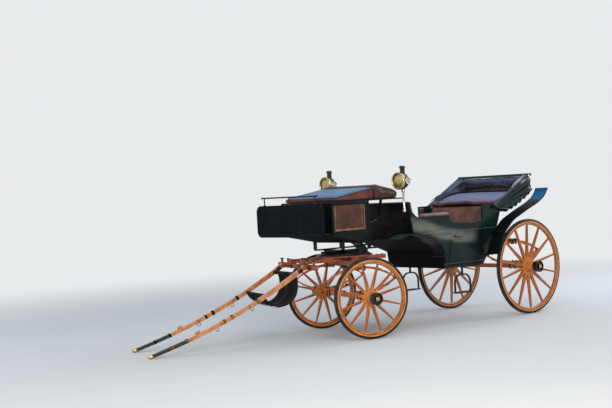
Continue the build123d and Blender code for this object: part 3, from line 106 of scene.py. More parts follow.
def operator(operation: str, swapped: bool = False) -> "Callable[..., Value]":
    """Return a method that adds a Math node over its terms, the other way round if swapped."""

    def method(self: "Value", *others: "Value | float") -> "Value":
        """Add the node and return its result."""
        terms = (*others, self) if swapped else (self, *others)
        return self.graph.out("Math", {"operation": operation}, dict(enumerate(terms)))

    return method


class Value:
    """A shader socket that takes part in Python sums, each of which adds a Math node."""

    __add__, __radd__ = operator("ADD"), operator("ADD", True)
    __sub__, __rsub__ = operator("SUBTRACT"), operator("SUBTRACT", True)
    __mul__, __rmul__ = operator("MULTIPLY"), operator("MULTIPLY", True)
    __truediv__, __pow__, __abs__ = operator("DIVIDE"), operator("POWER"), operator("ABSOLUTE")
    least, most = operator("MINIMUM"), operator("MAXIMUM")
    sine, fraction, angle_to = operator("SINE"), operator("FRACT"), operator("ARCTAN2")

    def __init__(self, graph: "Graph", socket: bpy.types.NodeSocket) -> None:
        """Keep the socket and the graph it belongs to."""
        self.graph = graph
        self.socket = socket

    def rise(self, low: float, high: float) -> "Value":
        """Return 0 below low, 1 above high and a smooth step between."""
        settings = {"interpolation_type": "SMOOTHSTEP", "clamp": True}
        sockets = {"Value": self, "From Min": low, "From Max": high}
        return self.graph.out("MapRange", settings, sockets, "Result")

    def band(self, low: float, high: float, soft: float = 0.0008) -> "Value":
        """Return 1 between low and high with soft edges."""
        return self.rise(low - soft, low + soft) * (1 - self.rise(high - soft, high + soft))

    def near(self, middle: float, half: float, soft: float = 0.0008) -> "Value":
        """Return 1 within half of middle with soft edges."""
        return 1 - abs(self - middle).rise(half - soft, half + soft)


Plain = float | int | Sequence[float] | Value
Settings = dict[str, object] | None
Sockets = dict[str | int, Plain] | None


class Graph:
    """The node tree of a material or world, with a short way to add each node."""

    def __init__(self, holder: bpy.types.Material | bpy.types.World) -> None:
        """Empty the holder's tree."""
        self.holder = holder
        holder.use_nodes = True
        self.tree = holder.node_tree
        self.tree.nodes.clear()

    def node(self, kind: str, settings: Settings = None, sockets: Sockets = None) -> bpy.types.Node:
        """Add a node.

        Args:
            kind: the node's type without its prefix.
            settings: its properties.
            sockets: its inputs by name or number, as plain values or links.

        Returns:
            The new node.
        """
        made = self.tree.nodes.new(f"ShaderNode{kind}")
        for key, setting in (settings or {}).items():
            setattr(made, key, setting)
        for key, value in (sockets or {}).items():
            socket = made.inputs[key]
            if isinstance(value, Value):
                self.tree.links.new(value.socket, socket)
            else:
                socket.default_value = (*value[:3], 1.0) if socket.type == "RGBA" else value
        return made

    def out(
        self, kind: str, settings: Settings = None, sockets: Sockets = None, key: str | int = 0
    ) -> Value:
        """Add a node as node() does and return its output of that key."""
        return Value(self, self.node(kind, settings, sockets).outputs[key])

    @property
    def place(self) -> Value:
        """The surface's place in the mesh's own frame, which moves with it."""
        return self.out("TexCoord", key="Object")

    @property
    def up(self) -> Value:
        """How far the surface faces the sky, from -1 to 1."""
        return self.split(self.out("NewGeometry", key="Normal"))[2]

    @property
    def seen(self) -> Value:
        """1 for what the camera sees, by itself, in a reflection or through glass, and else 0."""
        path = self.node("LightPath")
        camera, glossy, through = (
            Value(self, path.outputs[f"Is {kind} Ray"]) for kind in ("Camera", "Glossy", "Transmission")
        )
        return camera.most(glossy).most(through)

    def split(self, vector: Value) -> list[Value]:
        """Return a vector's three parts."""
        return [Value(self, part) for part in self.node("SeparateXYZ", None, {0: vector}).outputs]

    def join(self, x: Plain, y: Plain, z: Plain) -> Value:
        """Return a vector made of three parts."""
        return self.out("CombineXYZ", None, {0: x, 1: y, 2: z})

    def moved(self, place: Point, turn: float = 0.0) -> Value:
        """Return the surface's place as it is seen from a place that is turned about Z."""
        sockets = {"Vector": self.place, "Location": place, "Rotation": (0, 0, turn)}
        return self.out("Mapping", {"vector_type": "TEXTURE"}, sockets)

    def stretch(self, scale: Point) -> Value:
        """Return the surface's place with its parts multiplied."""
        return self.out("VectorMath", {"operation": "MULTIPLY"}, {0: self.place, 1: scale})

    def cloud(
        self, scale: float, detail: float = 3.0, rough: float = 0.55, over: Value | Point | None = None
    ) -> Value:
        """Return noise of about 0 to 1.

        Args:
            scale: how fine it is.
            detail: how many octaves it has.
            rough: how strong the fine ones are.
            over: its coordinates, or how the surface's place is stretched for it.

        Returns:
            The noise.
        """
        vector = over if isinstance(over, Value) else self.stretch(over) if over else self.place
        sockets = {"Vector": vector, "Scale": scale, "Detail": detail, "Roughness": rough}
        return self.out("TexNoise", None, sockets)

    def cells(self, scale: float, feature: str = "F1", over: Value | None = None) -> Value:
        """Return the distance in a cell pattern."""
        sockets = {"Vector": over or self.place, "Scale": scale}
        return self.out("TexVoronoi", {"feature": feature}, sockets, "Distance")

    def blend(self, share: Plain, first: Plain, second: Plain) -> Value:
        """Return first where share is 0 and second where it is 1."""
        settings = {"data_type": "RGBA", "clamp_factor": True}
        return self.out("Mix", settings, {0: share, 6: first, 7: second}, 2)

    def bump(self, height: Value, distance: float, strength: float) -> Value:
        """Return the normal of a surface with that height."""
        return self.out("Bump", None, {"Strength": strength, "Distance": distance, "Height": height})

    def shell(
        self, colour: Plain, rough: Plain, normal: Value | None = None, **others: Plain
    ) -> bpy.types.Material:
        """End the material in one surface shader.

        Args:
            colour: its base colour.
            rough: its roughness.
            normal: its normal.
            others: its further inputs, in small letters with underscores.

        Returns:
            The finished material.
        """
        surface = self.node("BsdfPrincipled", None, {"Base Color": colour, "Roughness": rough})
        if normal is not None:
            others["normal"] = normal
        for socket in surface.inputs:
            value = others.pop(socket.name.lower().replace(" ", "_"), None)
            if isinstance(value, Value):
                self.tree.links.new(value.socket, socket)
            elif value is not None:
                socket.default_value = (*value[:3], 1.0) if socket.type == "RGBA" else value
        self.node("OutputMaterial", None, {"Surface": Value(self, surface.outputs[0])})
        return self.holder


@dataclass(frozen=True)
class Finish:
    """The base of every finish. A finish makes its material once and keeps it by name."""

    name: str
    slot: str = field(default="brown_leather", kw_only=True)

    def material(self) -> bpy.types.Material:
        """Return this finish's material, made at its first use."""
        known = bpy.data.materials.get(self.name)
        return known if known is not None else self.make(Graph(bpy.data.materials.new(self.name)))

    def make(self, graph: Graph) -> bpy.types.Material:
        """Make the material in an empty graph."""
        raise NotImplementedError


STRIPE_COLOUR = rgb(84, 30, 18)
SPOKE_RED = rgb(158, 66, 30)


@dataclass(frozen=True)
class Varnish(Finish):
    """Varnished or painted timber: a streaky coat with dust in it, darker patches and painted shade on what
    faces down.
    """

    colour: Colour
    dark: Colour
    dust: Colour = rgb(150, 120, 92)
    gloss: float = 0.3
    grain: Point = (6.0, 60.0, 60.0)

    def make(self, graph: Graph) -> bpy.types.Material:
        """Make the varnish over streaks that run along X."""
        return self.coat(graph, graph.stretch(self.grain), 0.0)

    def coat(
        self, graph: Graph, along: Value, line: Plain, redder: Value | None = None
    ) -> bpy.types.Material:
        """Make the coat.

        Args:
            graph: the material's graph.
            along: coordinates in which the grain runs.
            line: where the dark striping lies, 0 to 1.
            redder: how much deeper and redder the coat is, 0 to 1.

        Returns:
            The finished material.
        """
        streak = graph.cloud(1.0, 5.0, 0.6, along)
        patch = graph.cloud(9.0, 4.0, 0.6)
        under = 0.5 - 0.5 * graph.up
        tone = graph.blend(streak.rise(0.38, 0.72), self.colour, self.dark)
        if redder is not None:
            tone = graph.blend(redder, tone, SPOKE_RED)
        # Painted shade: what faces down is darkened towards the dark tone, together with random darker
        # patches.
        patches_and_painted_shade = (patch.rise(0.5, 0.8) * 0.45 + under.rise(0.62, 1.0) * 0.35).least(1.0)
        patchy_shaded_tone = graph.blend(patches_and_painted_shade, tone, self.dark)
        dusty = graph.blend(graph.cloud(46.0, 3.0, 0.7).rise(0.6, 0.85) * 0.35, patchy_shaded_tone, self.dust)
        return graph.shell(
            graph.blend(line, dusty, STRIPE_COLOUR),
            self.gloss + 0.2 * patch + 0.12 * streak,
            graph.bump(streak * 0.6 + graph.cloud(210.0, 2.0) * 0.4, 0.0006, 0.5),
            coat_weight=0.3 - 0.22 * patch.rise(0.45, 0.75),
            coat_roughness=0.16,
            specular_ior_level=0.35,
        )


@dataclass(frozen=True)
class WheelVarnish(Varnish):
    """The coat of one wheel, with a line round the felloe and one along each spoke."""

    hub: Point = (0.0, 0.0, 0.0)
    turn: float = 0.0
    radius: float = 0.55
    spokes: int = 14
    rings: tuple[Flat, ...] = ((0.049, 0.0042), (0.0655, 0.0022))
    spoke_half: float = 0.0024
    spoke_start: float = 0.115
    felloe_inset: float = 0.068

    def make(self, graph: Graph) -> bpy.types.Material:
        """Make the varnish over radial streaks, with the striping in the wheel's own frame."""
        across, through, up = graph.split(graph.moved(self.hub, self.turn))
        reach = (across * across + up * up) ** 0.5
        angle = up.angle_to(across)
        pitch = math.tau / self.spokes
        off_spoke = ((angle / pitch + self.spokes).fraction() - 0.5) * pitch * reach
        face, edge = ((self.radius - reach).near(inset, half) for inset, half in self.rings)
        rim = self.radius - self.felloe_inset
        on_spoke = reach.band(self.spoke_start, rim - 0.025)
        line = face.most(edge).most(on_spoke * off_spoke.near(0.0, self.spoke_half, 0.0006))
        felloe = reach.rise(rim - 0.002, rim + 0.002)
        spoke_grain = graph.join(reach * 7, off_spoke * 90, through * 90)
        rim_grain = graph.join(reach * 90, angle * 4, through * 90)
        redder = (1 - felloe) * reach.rise(0.07, 0.14) * (off_spoke.near(0.0, 0.007, 0.004) * 0.2 + 0.4)
        return self.coat(graph, graph.blend(felloe, spoke_grain, rim_grain), line * 0.85, redder)


@dataclass(frozen=True)
class Lacquer(Finish):
    """Coach lacquer: deep colour under a clear coat, with dust towards the bottom, a painted sky reflection
    on what faces up and, where a band is given, a painted pale reflection band.
    """

    colour: Colour
    deep: Colour
    haze: Colour
    dust: Colour = rgb(116, 110, 98)
    dust_low: float = 0.60
    dust_high: float = 0.86
    gloss: float = 0.16
    lines: tuple[Flat, ...] = ()
    line_colour: Colour = rgb(96, 132, 128)
    # band: the heights of a painted pale reflection band across the side; the three fields below give its
    # colour, where it starts along X and how fast it climbs towards the front.
    band: Flat | None = None
    band_colour: Colour = rgb(116, 118, 106)
    band_start: float = 0.66
    band_rise: float = 0.26
    coat: float = 0.14
    shine: float = 0.16

    def make(self, graph: Graph) -> bpy.types.Material:
        """Make the lacquer with soft patches, dust, fine scratches, a painted reflection on what faces up, a
        painted pale reflection band and level lines.
        """
        forward, _, height = graph.split(graph.place)
        patch = graph.cloud(3.2, 3.0, 0.5)
        under = (0 - graph.up).rise(0.3, 0.8)
        fine = graph.cloud(70.0, 4.0, 0.7)
        tone = graph.blend(patch.rise(0.35, 0.7), self.deep, self.colour)
        # Painted sky reflection: what faces up is blended towards a pale reflection colour.
        tone = graph.blend(graph.up.rise(0.05, 0.9) * 0.55, tone, self.haze)
        low = 1 - height.rise(self.dust_low, self.dust_high)
        tone = graph.blend((low * 0.3 + 0.04) * fine.rise(0.42, 0.75), tone, self.dust)
        # Painted reflection band: a pale, broken band at the band's heights that climbs towards the front.
        if self.band:
            forward = forward - ORIGIN.x
            climb = (forward - 1.05).most(0.0) * self.band_rise
            wave = graph.cloud(1.0, 3.0, 0.5, (3.0, 3.0, 6.0)) * 0.09 - 0.045
            reflection_gaps = graph.cloud(1.0, 3.0, 0.5, (4.0, 4.0, 22.0)).rise(0.3, 0.7) * 0.4 + 0.5
            reflection_zone = (height - climb + wave).band(*self.band, 0.035) * reflection_gaps
            ahead = forward.rise(self.band_start, self.band_start + 0.22)
            tone = graph.blend(reflection_zone * ahead, tone, self.band_colour)
        for middle, half in self.lines:
            tone = graph.blend(height.near(middle, half), tone, self.line_colour)
        scratch = graph.cloud(1.0, 4.0, 0.7, (30.0, 30.0, 240.0))
        return graph.shell(
            tone,
            self.gloss + 0.1 * patch + 0.22 * low * fine + 0.06 * scratch + 0.6 * under,
            graph.bump(graph.cloud(26.0, 2.0) * 0.6 + scratch * 0.1, 0.0007, 0.3),
            coat_weight=(self.coat - 0.2 * low * fine.rise(0.3, 0.6)) * (1 - under),
            coat_roughness=0.05,
            specular_ior_level=self.shine,
        )


@dataclass(frozen=True)
class Leather(Finish):
    """Grained leather with creases, darker seams in its hollows and a painted sheen on what faces up."""

    colour: Colour
    dark: Colour
    bloom: Colour
    bloom_share: float = 0.5
    bloom_start: float = 0.25
    grain: float = 420.0
    gloss: float = 0.34
    crease: float = 1.0
    coat: float = 0.06
    shine: float = 0.3

    def make(self, graph: Graph) -> bpy.types.Material:
        """Make the leather from a cell grain, folds, wear and a painted sheen on what faces up."""
        pebble = graph.cells(self.grain)
        crack = graph.cells(self.grain * 0.16, "DISTANCE_TO_EDGE", graph.stretch((1.0, 0.7, 1.4)))
        patch = graph.cloud(7.0, 4.0, 0.6)
        fold = graph.cloud(20.0, 3.0, 0.6, (1.0, 0.45, 1.0))
        tone = graph.blend(patch.rise(0.34, 0.74), self.colour, self.dark)
        creased = graph.blend((1 - crack.rise(0.0, 0.09)) * 0.4 * self.crease, tone, self.dark)
        # Painted sky sheen: what faces up is blended towards the third colour.
        share = (graph.up.rise(self.bloom_start, 0.95) * self.bloom_share * (0.4 + 1.0 * fold)).least(0.94)
        sheen = graph.blend(patch.rise(0.4, 0.7) * 0.3, self.bloom, self.colour)
        height = pebble * 0.35 + crack.rise(0.0, 0.12) * 0.3 * self.crease + fold * 0.6
        return graph.shell(
            graph.blend(share, creased, sheen),
            self.gloss + 0.22 * patch + 0.1 * pebble,
            graph.bump(height, 0.0016, 0.55),
            specular_ior_level=self.shine,
            coat_weight=self.coat * (0.6 + 0.9 * fold),
            coat_roughness=0.28,
        )


@dataclass(frozen=True)
class Cloth(Finish):
    """Woven lining with a soft nap and a painted sheen on what faces up."""

    colour: Colour
    dark: Colour
    bloom: Colour
    threads: float = 900.0

    def make(self, graph: Graph) -> bpy.types.Material:
        """Make the cloth from crossed threads, soft shadowed folds and a painted sheen on what faces up."""
        x, y, z = graph.split(graph.place)
        weave = ((y * self.threads).sine() * ((x + z) * self.threads).sine()) * 0.5 + 0.5
        patch = graph.cloud(9.0, 4.0, 0.6)
        fold = graph.cloud(24.0, 3.0, 0.6, (1.0, 0.5, 1.6))
        tone = graph.blend(patch.rise(0.35, 0.7), self.colour, self.dark)
        tone = graph.blend(weave * 0.22, tone, self.dark)
        # The base colour carries a painted sheen: what faces up is blended towards the third colour.
        return graph.shell(
            graph.blend(graph.up.rise(0.0, 0.9) * (0.35 + 0.5 * fold), tone, self.bloom),
            0.62 + 0.2 * patch,
            graph.bump(weave * 0.3 + fold * 0.9, 0.0018, 0.6),
            sheen_weight=0.08,
            sheen_roughness=0.4,
            specular_ior_level=0.2,
        )


@dataclass(frozen=True)
class Paint(Finish):
    """Black iron or steel under brushed paint, dusty and chipped; on the fenders the paler colour on what
    faces up is a painted reflection instead of dust.
    """

    slot: str = field(default="black_iron", kw_only=True)
    colour: Colour
    chip: Colour
    gloss: float = 0.3
    dust: Colour = rgb(104, 98, 90)
    dust_share: float = 0.35
    metal: float = 0.15
    dust_start: float = 0.3
    shine: float = 0.4
    coat: float = 0.35
    dust_floor: float = 0.0

    def make(self, graph: Graph) -> bpy.types.Material:
        """Make the paint with chips, brush marks and a paler colour on what faces up, which is dust on most
        paints and a painted reflection on the fenders.
        """
        patch = graph.cloud(12.0, 4.0, 0.6)
        flaw = graph.cloud(90.0, 5.0, 0.7).rise(0.68, 0.74) * patch.rise(0.4, 0.6)
        # What faces up is blended towards the dust colour: real dust on most paints, a painted sky reflection
        # on the fenders, kept above a given height where one is set.
        dust_and_sheen = graph.up.rise(self.dust_start, 1.0) * (0.5 + patch) * self.dust_share
        if self.dust_floor:
            dust_and_sheen = dust_and_sheen * graph.split(graph.place)[2].rise(self.dust_floor, self.dust_floor + 0.05)
        return graph.shell(
            graph.blend(dust_and_sheen.least(1.0), graph.blend(flaw * 0.7, self.colour, self.chip), self.dust),
            self.gloss + 0.25 * patch,
            graph.bump(graph.cloud(40.0, 3.0, over=(1.0, 4.0, 4.0)) - flaw * 0.5, 0.0006, 0.4),
            metallic=self.metal,
            specular_ior_level=self.shine,
            coat_weight=self.coat * (1 - 0.85 * patch),
            coat_roughness=0.12,
        )


@dataclass(frozen=True)
class Metal(Finish):
    """Bare or plated metal, polished in patches and stained in others."""

    slot: str = field(default="brass", kw_only=True)
    colour: Colour
    stain: Colour
    gloss: float = 0.2
    stain_share: float = 0.5

    def make(self, graph: Graph) -> bpy.types.Material:
        """Make the metal with stains and fine turning marks."""
        fine = graph.cloud(300.0, 2.0)
        stained = graph.cloud(24.0, 5.0, 0.6).rise(0.42, 0.72) * self.stain_share
        rough = self.gloss + 0.3 * stained + 0.08 * fine
        tone = graph.blend(stained, self.colour, self.stain)
        return graph.shell(tone, rough, graph.bump(fine, 0.0002, 0.3), metallic=1.0 - 0.35 * stained)


@dataclass(frozen=True)
class Rubber(Finish):
    """Dull rubber with road dust and a scuffed tread."""

    slot: str = field(default="tyre", kw_only=True)
    colour: Colour = rgb(26, 27, 30)
    dust: Colour = rgb(108, 104, 98)

    def make(self, graph: Graph) -> bpy.types.Material:
        """Make the rubber with dust in patches and small scuffs."""
        patch, scuff = graph.cloud(10.0, 4.0, 0.6), graph.cloud(130.0, 4.0, 0.7)
        share = patch.rise(0.4, 0.8) * 0.3 + scuff.rise(0.6, 0.8) * 0.2
        tone = graph.blend(share, self.colour, self.dust)
        return graph.shell(tone, 0.6 + 0.25 * patch, graph.bump(scuff, 0.0008, 0.6), specular_ior_level=0.3)


@dataclass(frozen=True)
class LampGlass(Finish):
    """The front of a lamp: a gilt reflector seen through slightly dusty glass."""

    slot: str = field(default="brass", kw_only=True)
    colour: Colour
    rim: Colour
    radius: float = 0.08
    centre: Point = (0.0, 0.0, 0.0)

    def make(self, graph: Graph) -> bpy.types.Material:
        """Make the lens darker towards its rim, with fine rings pressed into it."""
        _, side, up = graph.split(graph.moved(self.centre))
        reach = (side * side + up * up) ** 0.5 / self.radius
        patch = graph.cloud(34.0, 3.0)
        tone = graph.blend(reach.rise(0.35, 1.0) * 0.8, self.colour, self.rim)
        return graph.shell(
            graph.blend(patch.rise(0.38, 0.68) * 0.75, tone, self.rim),
            0.3 + 0.2 * patch,
            graph.bump((reach * 46).sine() * 0.5 + 0.5, 0.0005, 0.35),
            metallic=0.55,
            coat_weight=1.0,
            coat_roughness=0.04,
        )


@dataclass(frozen=True)
class ShaftCoat(Varnish):
    """The shafts' varnish, which gives way to sewn black leather towards their tips."""

    root: Point = (0.0, 0.0, 0.0)
    heading: Point = (1.0, 0.0, 0.0)
    leather_start: float = 1.45
    leather: Colour = rgb(24, 24, 27)

    def make(self, graph: Graph) -> bpy.types.Material:
        """Make the coat from the distance along the shafts."""
        sockets = {0: graph.moved(self.root), 1: self.heading}
        along = graph.out("VectorMath", {"operation": "DOT_PRODUCT"}, sockets, "Value")
        streak = graph.cloud(1.0, 5.0, 0.6, (7.0, 70.0, 12.0))
        patch = graph.cloud(14.0, 4.0, 0.6)
        wood = graph.blend(streak.rise(0.35, 0.75), self.colour, self.dark)
        wood = graph.blend(patch.rise(0.55, 0.8) * 0.5, wood, self.dust)
        covered = along.rise(self.leather_start, self.leather_start + 0.004)
        return graph.shell(
            graph.blend(covered, wood, self.leather),
            self.gloss + 0.2 * patch + 0.15 * covered,
            graph.bump((1 - covered) * streak * 0.5 + covered * graph.cells(380.0), 0.0008, 0.5),
            coat_weight=0.4 - 0.35 * covered,
            coat_roughness=0.15,
        )


def facing(place: Vector, out: Vector) -> Matrix:
    """Return the frame that stands at a place with its Z axis turned out."""
    return Matrix.Translation(place) @ out.to_track_quat("Z", "Y").to_matrix().to_4x4()


def ring(sides: int) -> list[float]:
    """Return the turns of a full circle in equal steps."""
    return [math.tau * step / sides for step in range(sides)]


def polar(place: Matrix, radius: float, turn: float, height: float) -> Vector:
    """Return the point of a place at a radius and turn about its Z axis and a height."""
    return place @ vec(radius * math.cos(turn), radius * math.sin(turn), height)


def shares(steps: int) -> list[float]:
    """Return the shares from 0 to 1 in equal steps."""
    return [step / steps for step in range(steps + 1)]


def grid(rows: int, columns: int, point: Callable[[float, float], Vector]) -> list[list[Vector]]:
    """Return the points of a sheet, row by row.

    Args:
        rows: how many steps there are from the first row to the last.
        columns: how many steps there are along each row.
        point: gives the point at a share of the rows and a share of the way along one.

    Returns:
        The rows of points.
    """
    return [[point(share, along) for along in shares(columns)] for share in shares(rows)]


def spaced(path: Sequence[Vector], pitch: float) -> list[tuple[Vector, Vector]]:
    """Walk along a path in equal steps.

    Args:
        path: the points of the path.
        pitch: the length of a step.

    Returns:
        Each place and the direction there.
    """
    found = []
    left = pitch / 2
    for start, end in zip(path, path[1:]):
        run = end - start
        length = run.length
        while left <= length and length > 0:
            found.append((start + run * (left / length), run.normalized()))
            left += pitch
        left -= length
    return found


class Shape:
    """A mesh that is being built."""

    def __init__(self) -> None:
        """Start with nothing."""
        self.mesh = bmesh.new()

    def skin(
        self, rows: Rows, round_rows: bool = True, round_all: bool = False, caps: bool = True
    ) -> "Shape":
        """Join rows of points with quads.

        Args:
            rows: rows with the same number of points each.
            round_rows: whether each row closes on itself.
            round_all: whether the last row joins the first.
            caps: whether the first and last row are closed with a face.

        Returns:
            This shape.
        """
        made = [[self.mesh.verts.new(point) for point in row] for row in rows]
        count = len(made[0])
        for first, second in zip(made, made[1:] + (made[:1] if round_all else [])):
            for place in range(count if round_rows else count - 1):
                after = (place + 1) % count
                self.mesh.faces.new((first[place], first[after], second[after], second[place]))
        if caps and round_rows and not round_all:
            self.mesh.faces.new(list(reversed(made[0])))
            self.mesh.faces.new(made[-1])
        return self

    def tube(
        self,
        path: Sequence[Vector],
        radius: float | Callable[[float], float],
        sides: int = 10,
        closed: bool = False,
        flat: float = 1.0,
    ) -> "Shape":
        """Add a round or flattened bar along a path.

        Args:
            path: the points of its middle line.
            radius: its radius, or a function of the share of the path.
            sides: how many sides it has.
            closed: whether it joins up with itself.
            flat: its thickness as a share of its width.

        Returns:
            This shape.
        """
        count = len(path)
        normal: Vector | None = None
        rows = []
        for number, point in enumerate(path):
            before = path[(number - 1) % count] if closed or number else point
            after = path[(number + 1) % count] if closed or number < count - 1 else point
            along = (after - before).normalized()
            if normal is None:
                normal = vec(0, 0, 1) if abs(along.z) < 0.8 else vec(0, 1, 0)
            normal = (normal - along * normal.dot(along)).normalized()
            side = along.cross(normal)
            reach = radius(number / max(1, count - 1)) if callable(radius) else radius
            rows.append(
                [
                    point + side * (reach * math.cos(turn)) + normal * (reach * flat * math.sin(turn))
                    for turn in ring(sides)
                ]
            )
        return self.skin(rows, True, closed, not closed)

    def lathe(self, profile: Sequence[Flat], place: Matrix, sides: int = 24) -> "Shape":
        """Turn an open profile of (radius, height) points about a place's Z axis."""
        rows = [[polar(place, max(r, AXIS_GAP), turn, z) for turn in ring(sides)] for r, z in profile]
        return self.skin(rows)

    def hoop(self, profile: Sequence[Flat], place: Matrix, sides: int = 48) -> "Shape":
        """Turn a closed profile of (radius, height) points into a ring about a place's Z axis."""
        rows = [[polar(place, r, turn, z) for r, z in profile] for turn in ring(sides)]
        return self.skin(rows, True, True, False)

    def slab(self, x: Flat, y: Flat, z: Flat, bevel: float) -> "Shape":
        """Add a block between the ends of its X, Y and Z, with rounded edges."""
        low, high = (Vector(corner) for corner in zip(x, y, z))
        made = bmesh.ops.create_cube(self.mesh, size=1.0)["verts"]
        middle, size = (low + high) / 2, high - low
        for vert in made:
            vert.co = middle + vert.co * size
        edges = {edge for vert in made for edge in vert.link_edges}
        bmesh.ops.bevel(self.mesh, geom=list(edges), offset=bevel, segments=2, affect="EDGES")
        return self

    def stud(self, place: Vector, out: Vector, radius: float, height: float) -> "Shape":
        """Add the domed head of a nail or rivet that faces out."""
        dome = ((1.0, 0.0), (0.92, 0.45), (0.6, 0.85), (0.0, 1.0))
        profile = [(radius * across, height * up) for across, up in dome]
        return self.lathe(profile, facing(place, out), 8)

    def bolt(self, place: Vector, out: Vector, radius: float = 0.0085) -> "Shape":
        """Add a hexagon head on its washer, facing out."""
        stand = facing(place, out)
        self.lathe(((radius * 1.5, 0.0), (radius * 1.5, 0.0016), (0.0, 0.0016)), stand, 14)
        head = ((radius, 0.0012), (radius, 0.0058), (radius * 0.8, 0.0072), (0.0, 0.0072))
        return self.lathe(head, stand, 6)

    def stitches(self, path: Sequence[Vector], pitch: float = 0.008, radius: float = 0.0009) -> "Shape":
        """Add a row of short stitches along a path."""
        for point, along in spaced(path, pitch):
            self.tube([point - along * pitch * 0.32, point + along * pitch * 0.32], radius, 5)
        return self

    def ribbon(self, path: Sequence[Flat], low: float, high: float, lift: float, thick: float) -> "Shape":
        """Add a flat strap along an (X, Z) path.

        Args:
            path: the line that the strap follows.
            low: the Y of one edge.
            high: the Y of its other edge.
            lift: how far its near face stands off the line, to the left of the way along it.
            thick: its thickness.

        Returns:
            This shape.
        """
        rows = []
        for number, (x, z) in enumerate(path):
            before, after = path[max(0, number - 1)], path[min(len(path) - 1, number + 1)]
            along = Vector((after[0] - before[0], after[1] - before[1])).normalized()
            corners = ((lift, low), (lift, high), (lift + thick, high), (lift + thick, low))
            rows.append([vec(x - along.y * off, y, z + along.x * off) for off, y in corners])
        return self.skin(rows)

    def moved(self, place: Matrix) -> "Shape":
        """Carry the whole shape into a frame."""
        bmesh.ops.transform(self.mesh, matrix=place, verts=self.mesh.verts)
        return self

    def piece(self, name: str) -> bpy.types.Object:
        """Turn the shape into a smooth object of that name."""
        bmesh.ops.recalc_face_normals(self.mesh, faces=self.mesh.faces)
        data = bpy.data.meshes.new(name)
        self.mesh.to_mesh(data)
        self.mesh.free()
        smoothed(data)
        made = bpy.data.objects.new(name, data)
        bpy.context.collection.objects.link(made)
        return made


def smoothed(data: bpy.types.Mesh) -> None:
    """Shade every face of a mesh smoothly."""
    data.polygons.foreach_set("use_smooth", [True] * len(data.polygons))


def with_modifier(piece: bpy.types.Object, kind: str, **settings: object) -> bpy.types.Object:
    """Run one modifier on a piece, put what it makes into the mesh and take it off."""
    modifier = piece.modifiers.new(kind.lower(), kind)
    for key, setting in settings.items():
        setattr(modifier, key, setting)
    depsgraph = bpy.context.evaluated_depsgraph_get()
    data = bpy.data.meshes.new_from_object(piece.evaluated_get(depsgraph), depsgraph=depsgraph)
    piece.modifiers.clear()
    old, piece.data = piece.data, data
    bpy.data.meshes.remove(old)
    return piece


def smooth_line(points: Sequence[Vector], steps: int) -> list[Vector]:
    """Draw a smooth line through points, with a number of steps between each two."""
    ends = [points[0], *points, points[-1]]
    line = []
    for a, b, c, d in zip(ends, ends[1:], ends[2:], ends[3:]):
        for t in shares(steps)[:-1]:
            line.append(
                b * (2 - 5 * t * t + 3 * t**3) / 2
                + a * (-t + 2 * t * t - t**3) / 2
                + c * (t + 4 * t * t - 3 * t**3) / 2
                + d * (t**3 - t * t) / 2
            )
    return [*line, points[-1].copy()]


def level_line(places: Sequence[Flat], steps: int) -> list[Vector]:
    """Draw a smooth line through (X, Z) places in the middle of the carriage."""
    return smooth_line([vec(x, 0, z) for x, z in places], steps)


def snapped(piece: bpy.types.Object, path: Sequence[Vector], lift: float) -> list[Vector]:
    """Return the points of a piece's surface that are nearest to a path, lifted off it."""
    data = piece.data
    places = [vert.co.copy() for vert in data.vertices]
    tree = BVHTree.FromPolygons(places, [list(face.vertices) for face in data.polygons])
    found = (tree.find_nearest(point) for point in path)
    return [place + normal * lift for place, normal, _, _ in found]


def densely(corners: Sequence[Vector], steps: int, closed: bool = True) -> list[Vector]:
    """Divide the runs between corners into equal steps."""
    ends = [*corners, corners[0]] if closed else list(corners)
    return [start.lerp(end, step / steps) for start, end in zip(ends, ends[1:]) for step in range(steps)]


def level_at(line: Sequence[Flat], x: float) -> float:
    """Return the height of a line of (X, Z) points at an X, level past its ends."""
    for (x0, z0), (x1, z1) in zip(line, line[1:]):
        if x <= x1:
            return z0 + (z1 - z0) * max(0.0, (x - x0) / (x1 - x0))
    return line[-1][1]


def length_of(path: Iterable[Vector]) -> float:
    """Return the length of a line of points."""
    points = list(path)
    return sum((after - before).length for before, after in zip(points, points[1:]))


def finish_piece(
    piece: bpy.types.Object, finish: Finish, body: str = "coach", slot: str | None = None
) -> bpy.types.Object:
    """Give a piece its material and the body that it rides on, and report it."""
    piece.data.materials.clear()
    piece.data.materials.append(finish.material())
    slot or finish.slot
    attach(piece, body)
    LOG.info("made %s on %s: %d faces", piece.name, body, len(piece.data.polygons))
    return piece


def dress(finish: Finish, nodes: str) -> None:
    """Give CAD nodes, whose names stand apart by spaces, a finish."""
    for node in nodes.split():
        for holder in frame["nodes"][node].material_slots:
            holder.material = finish.material()
        LOG.info("dressed %s with %s", node, finish.name)


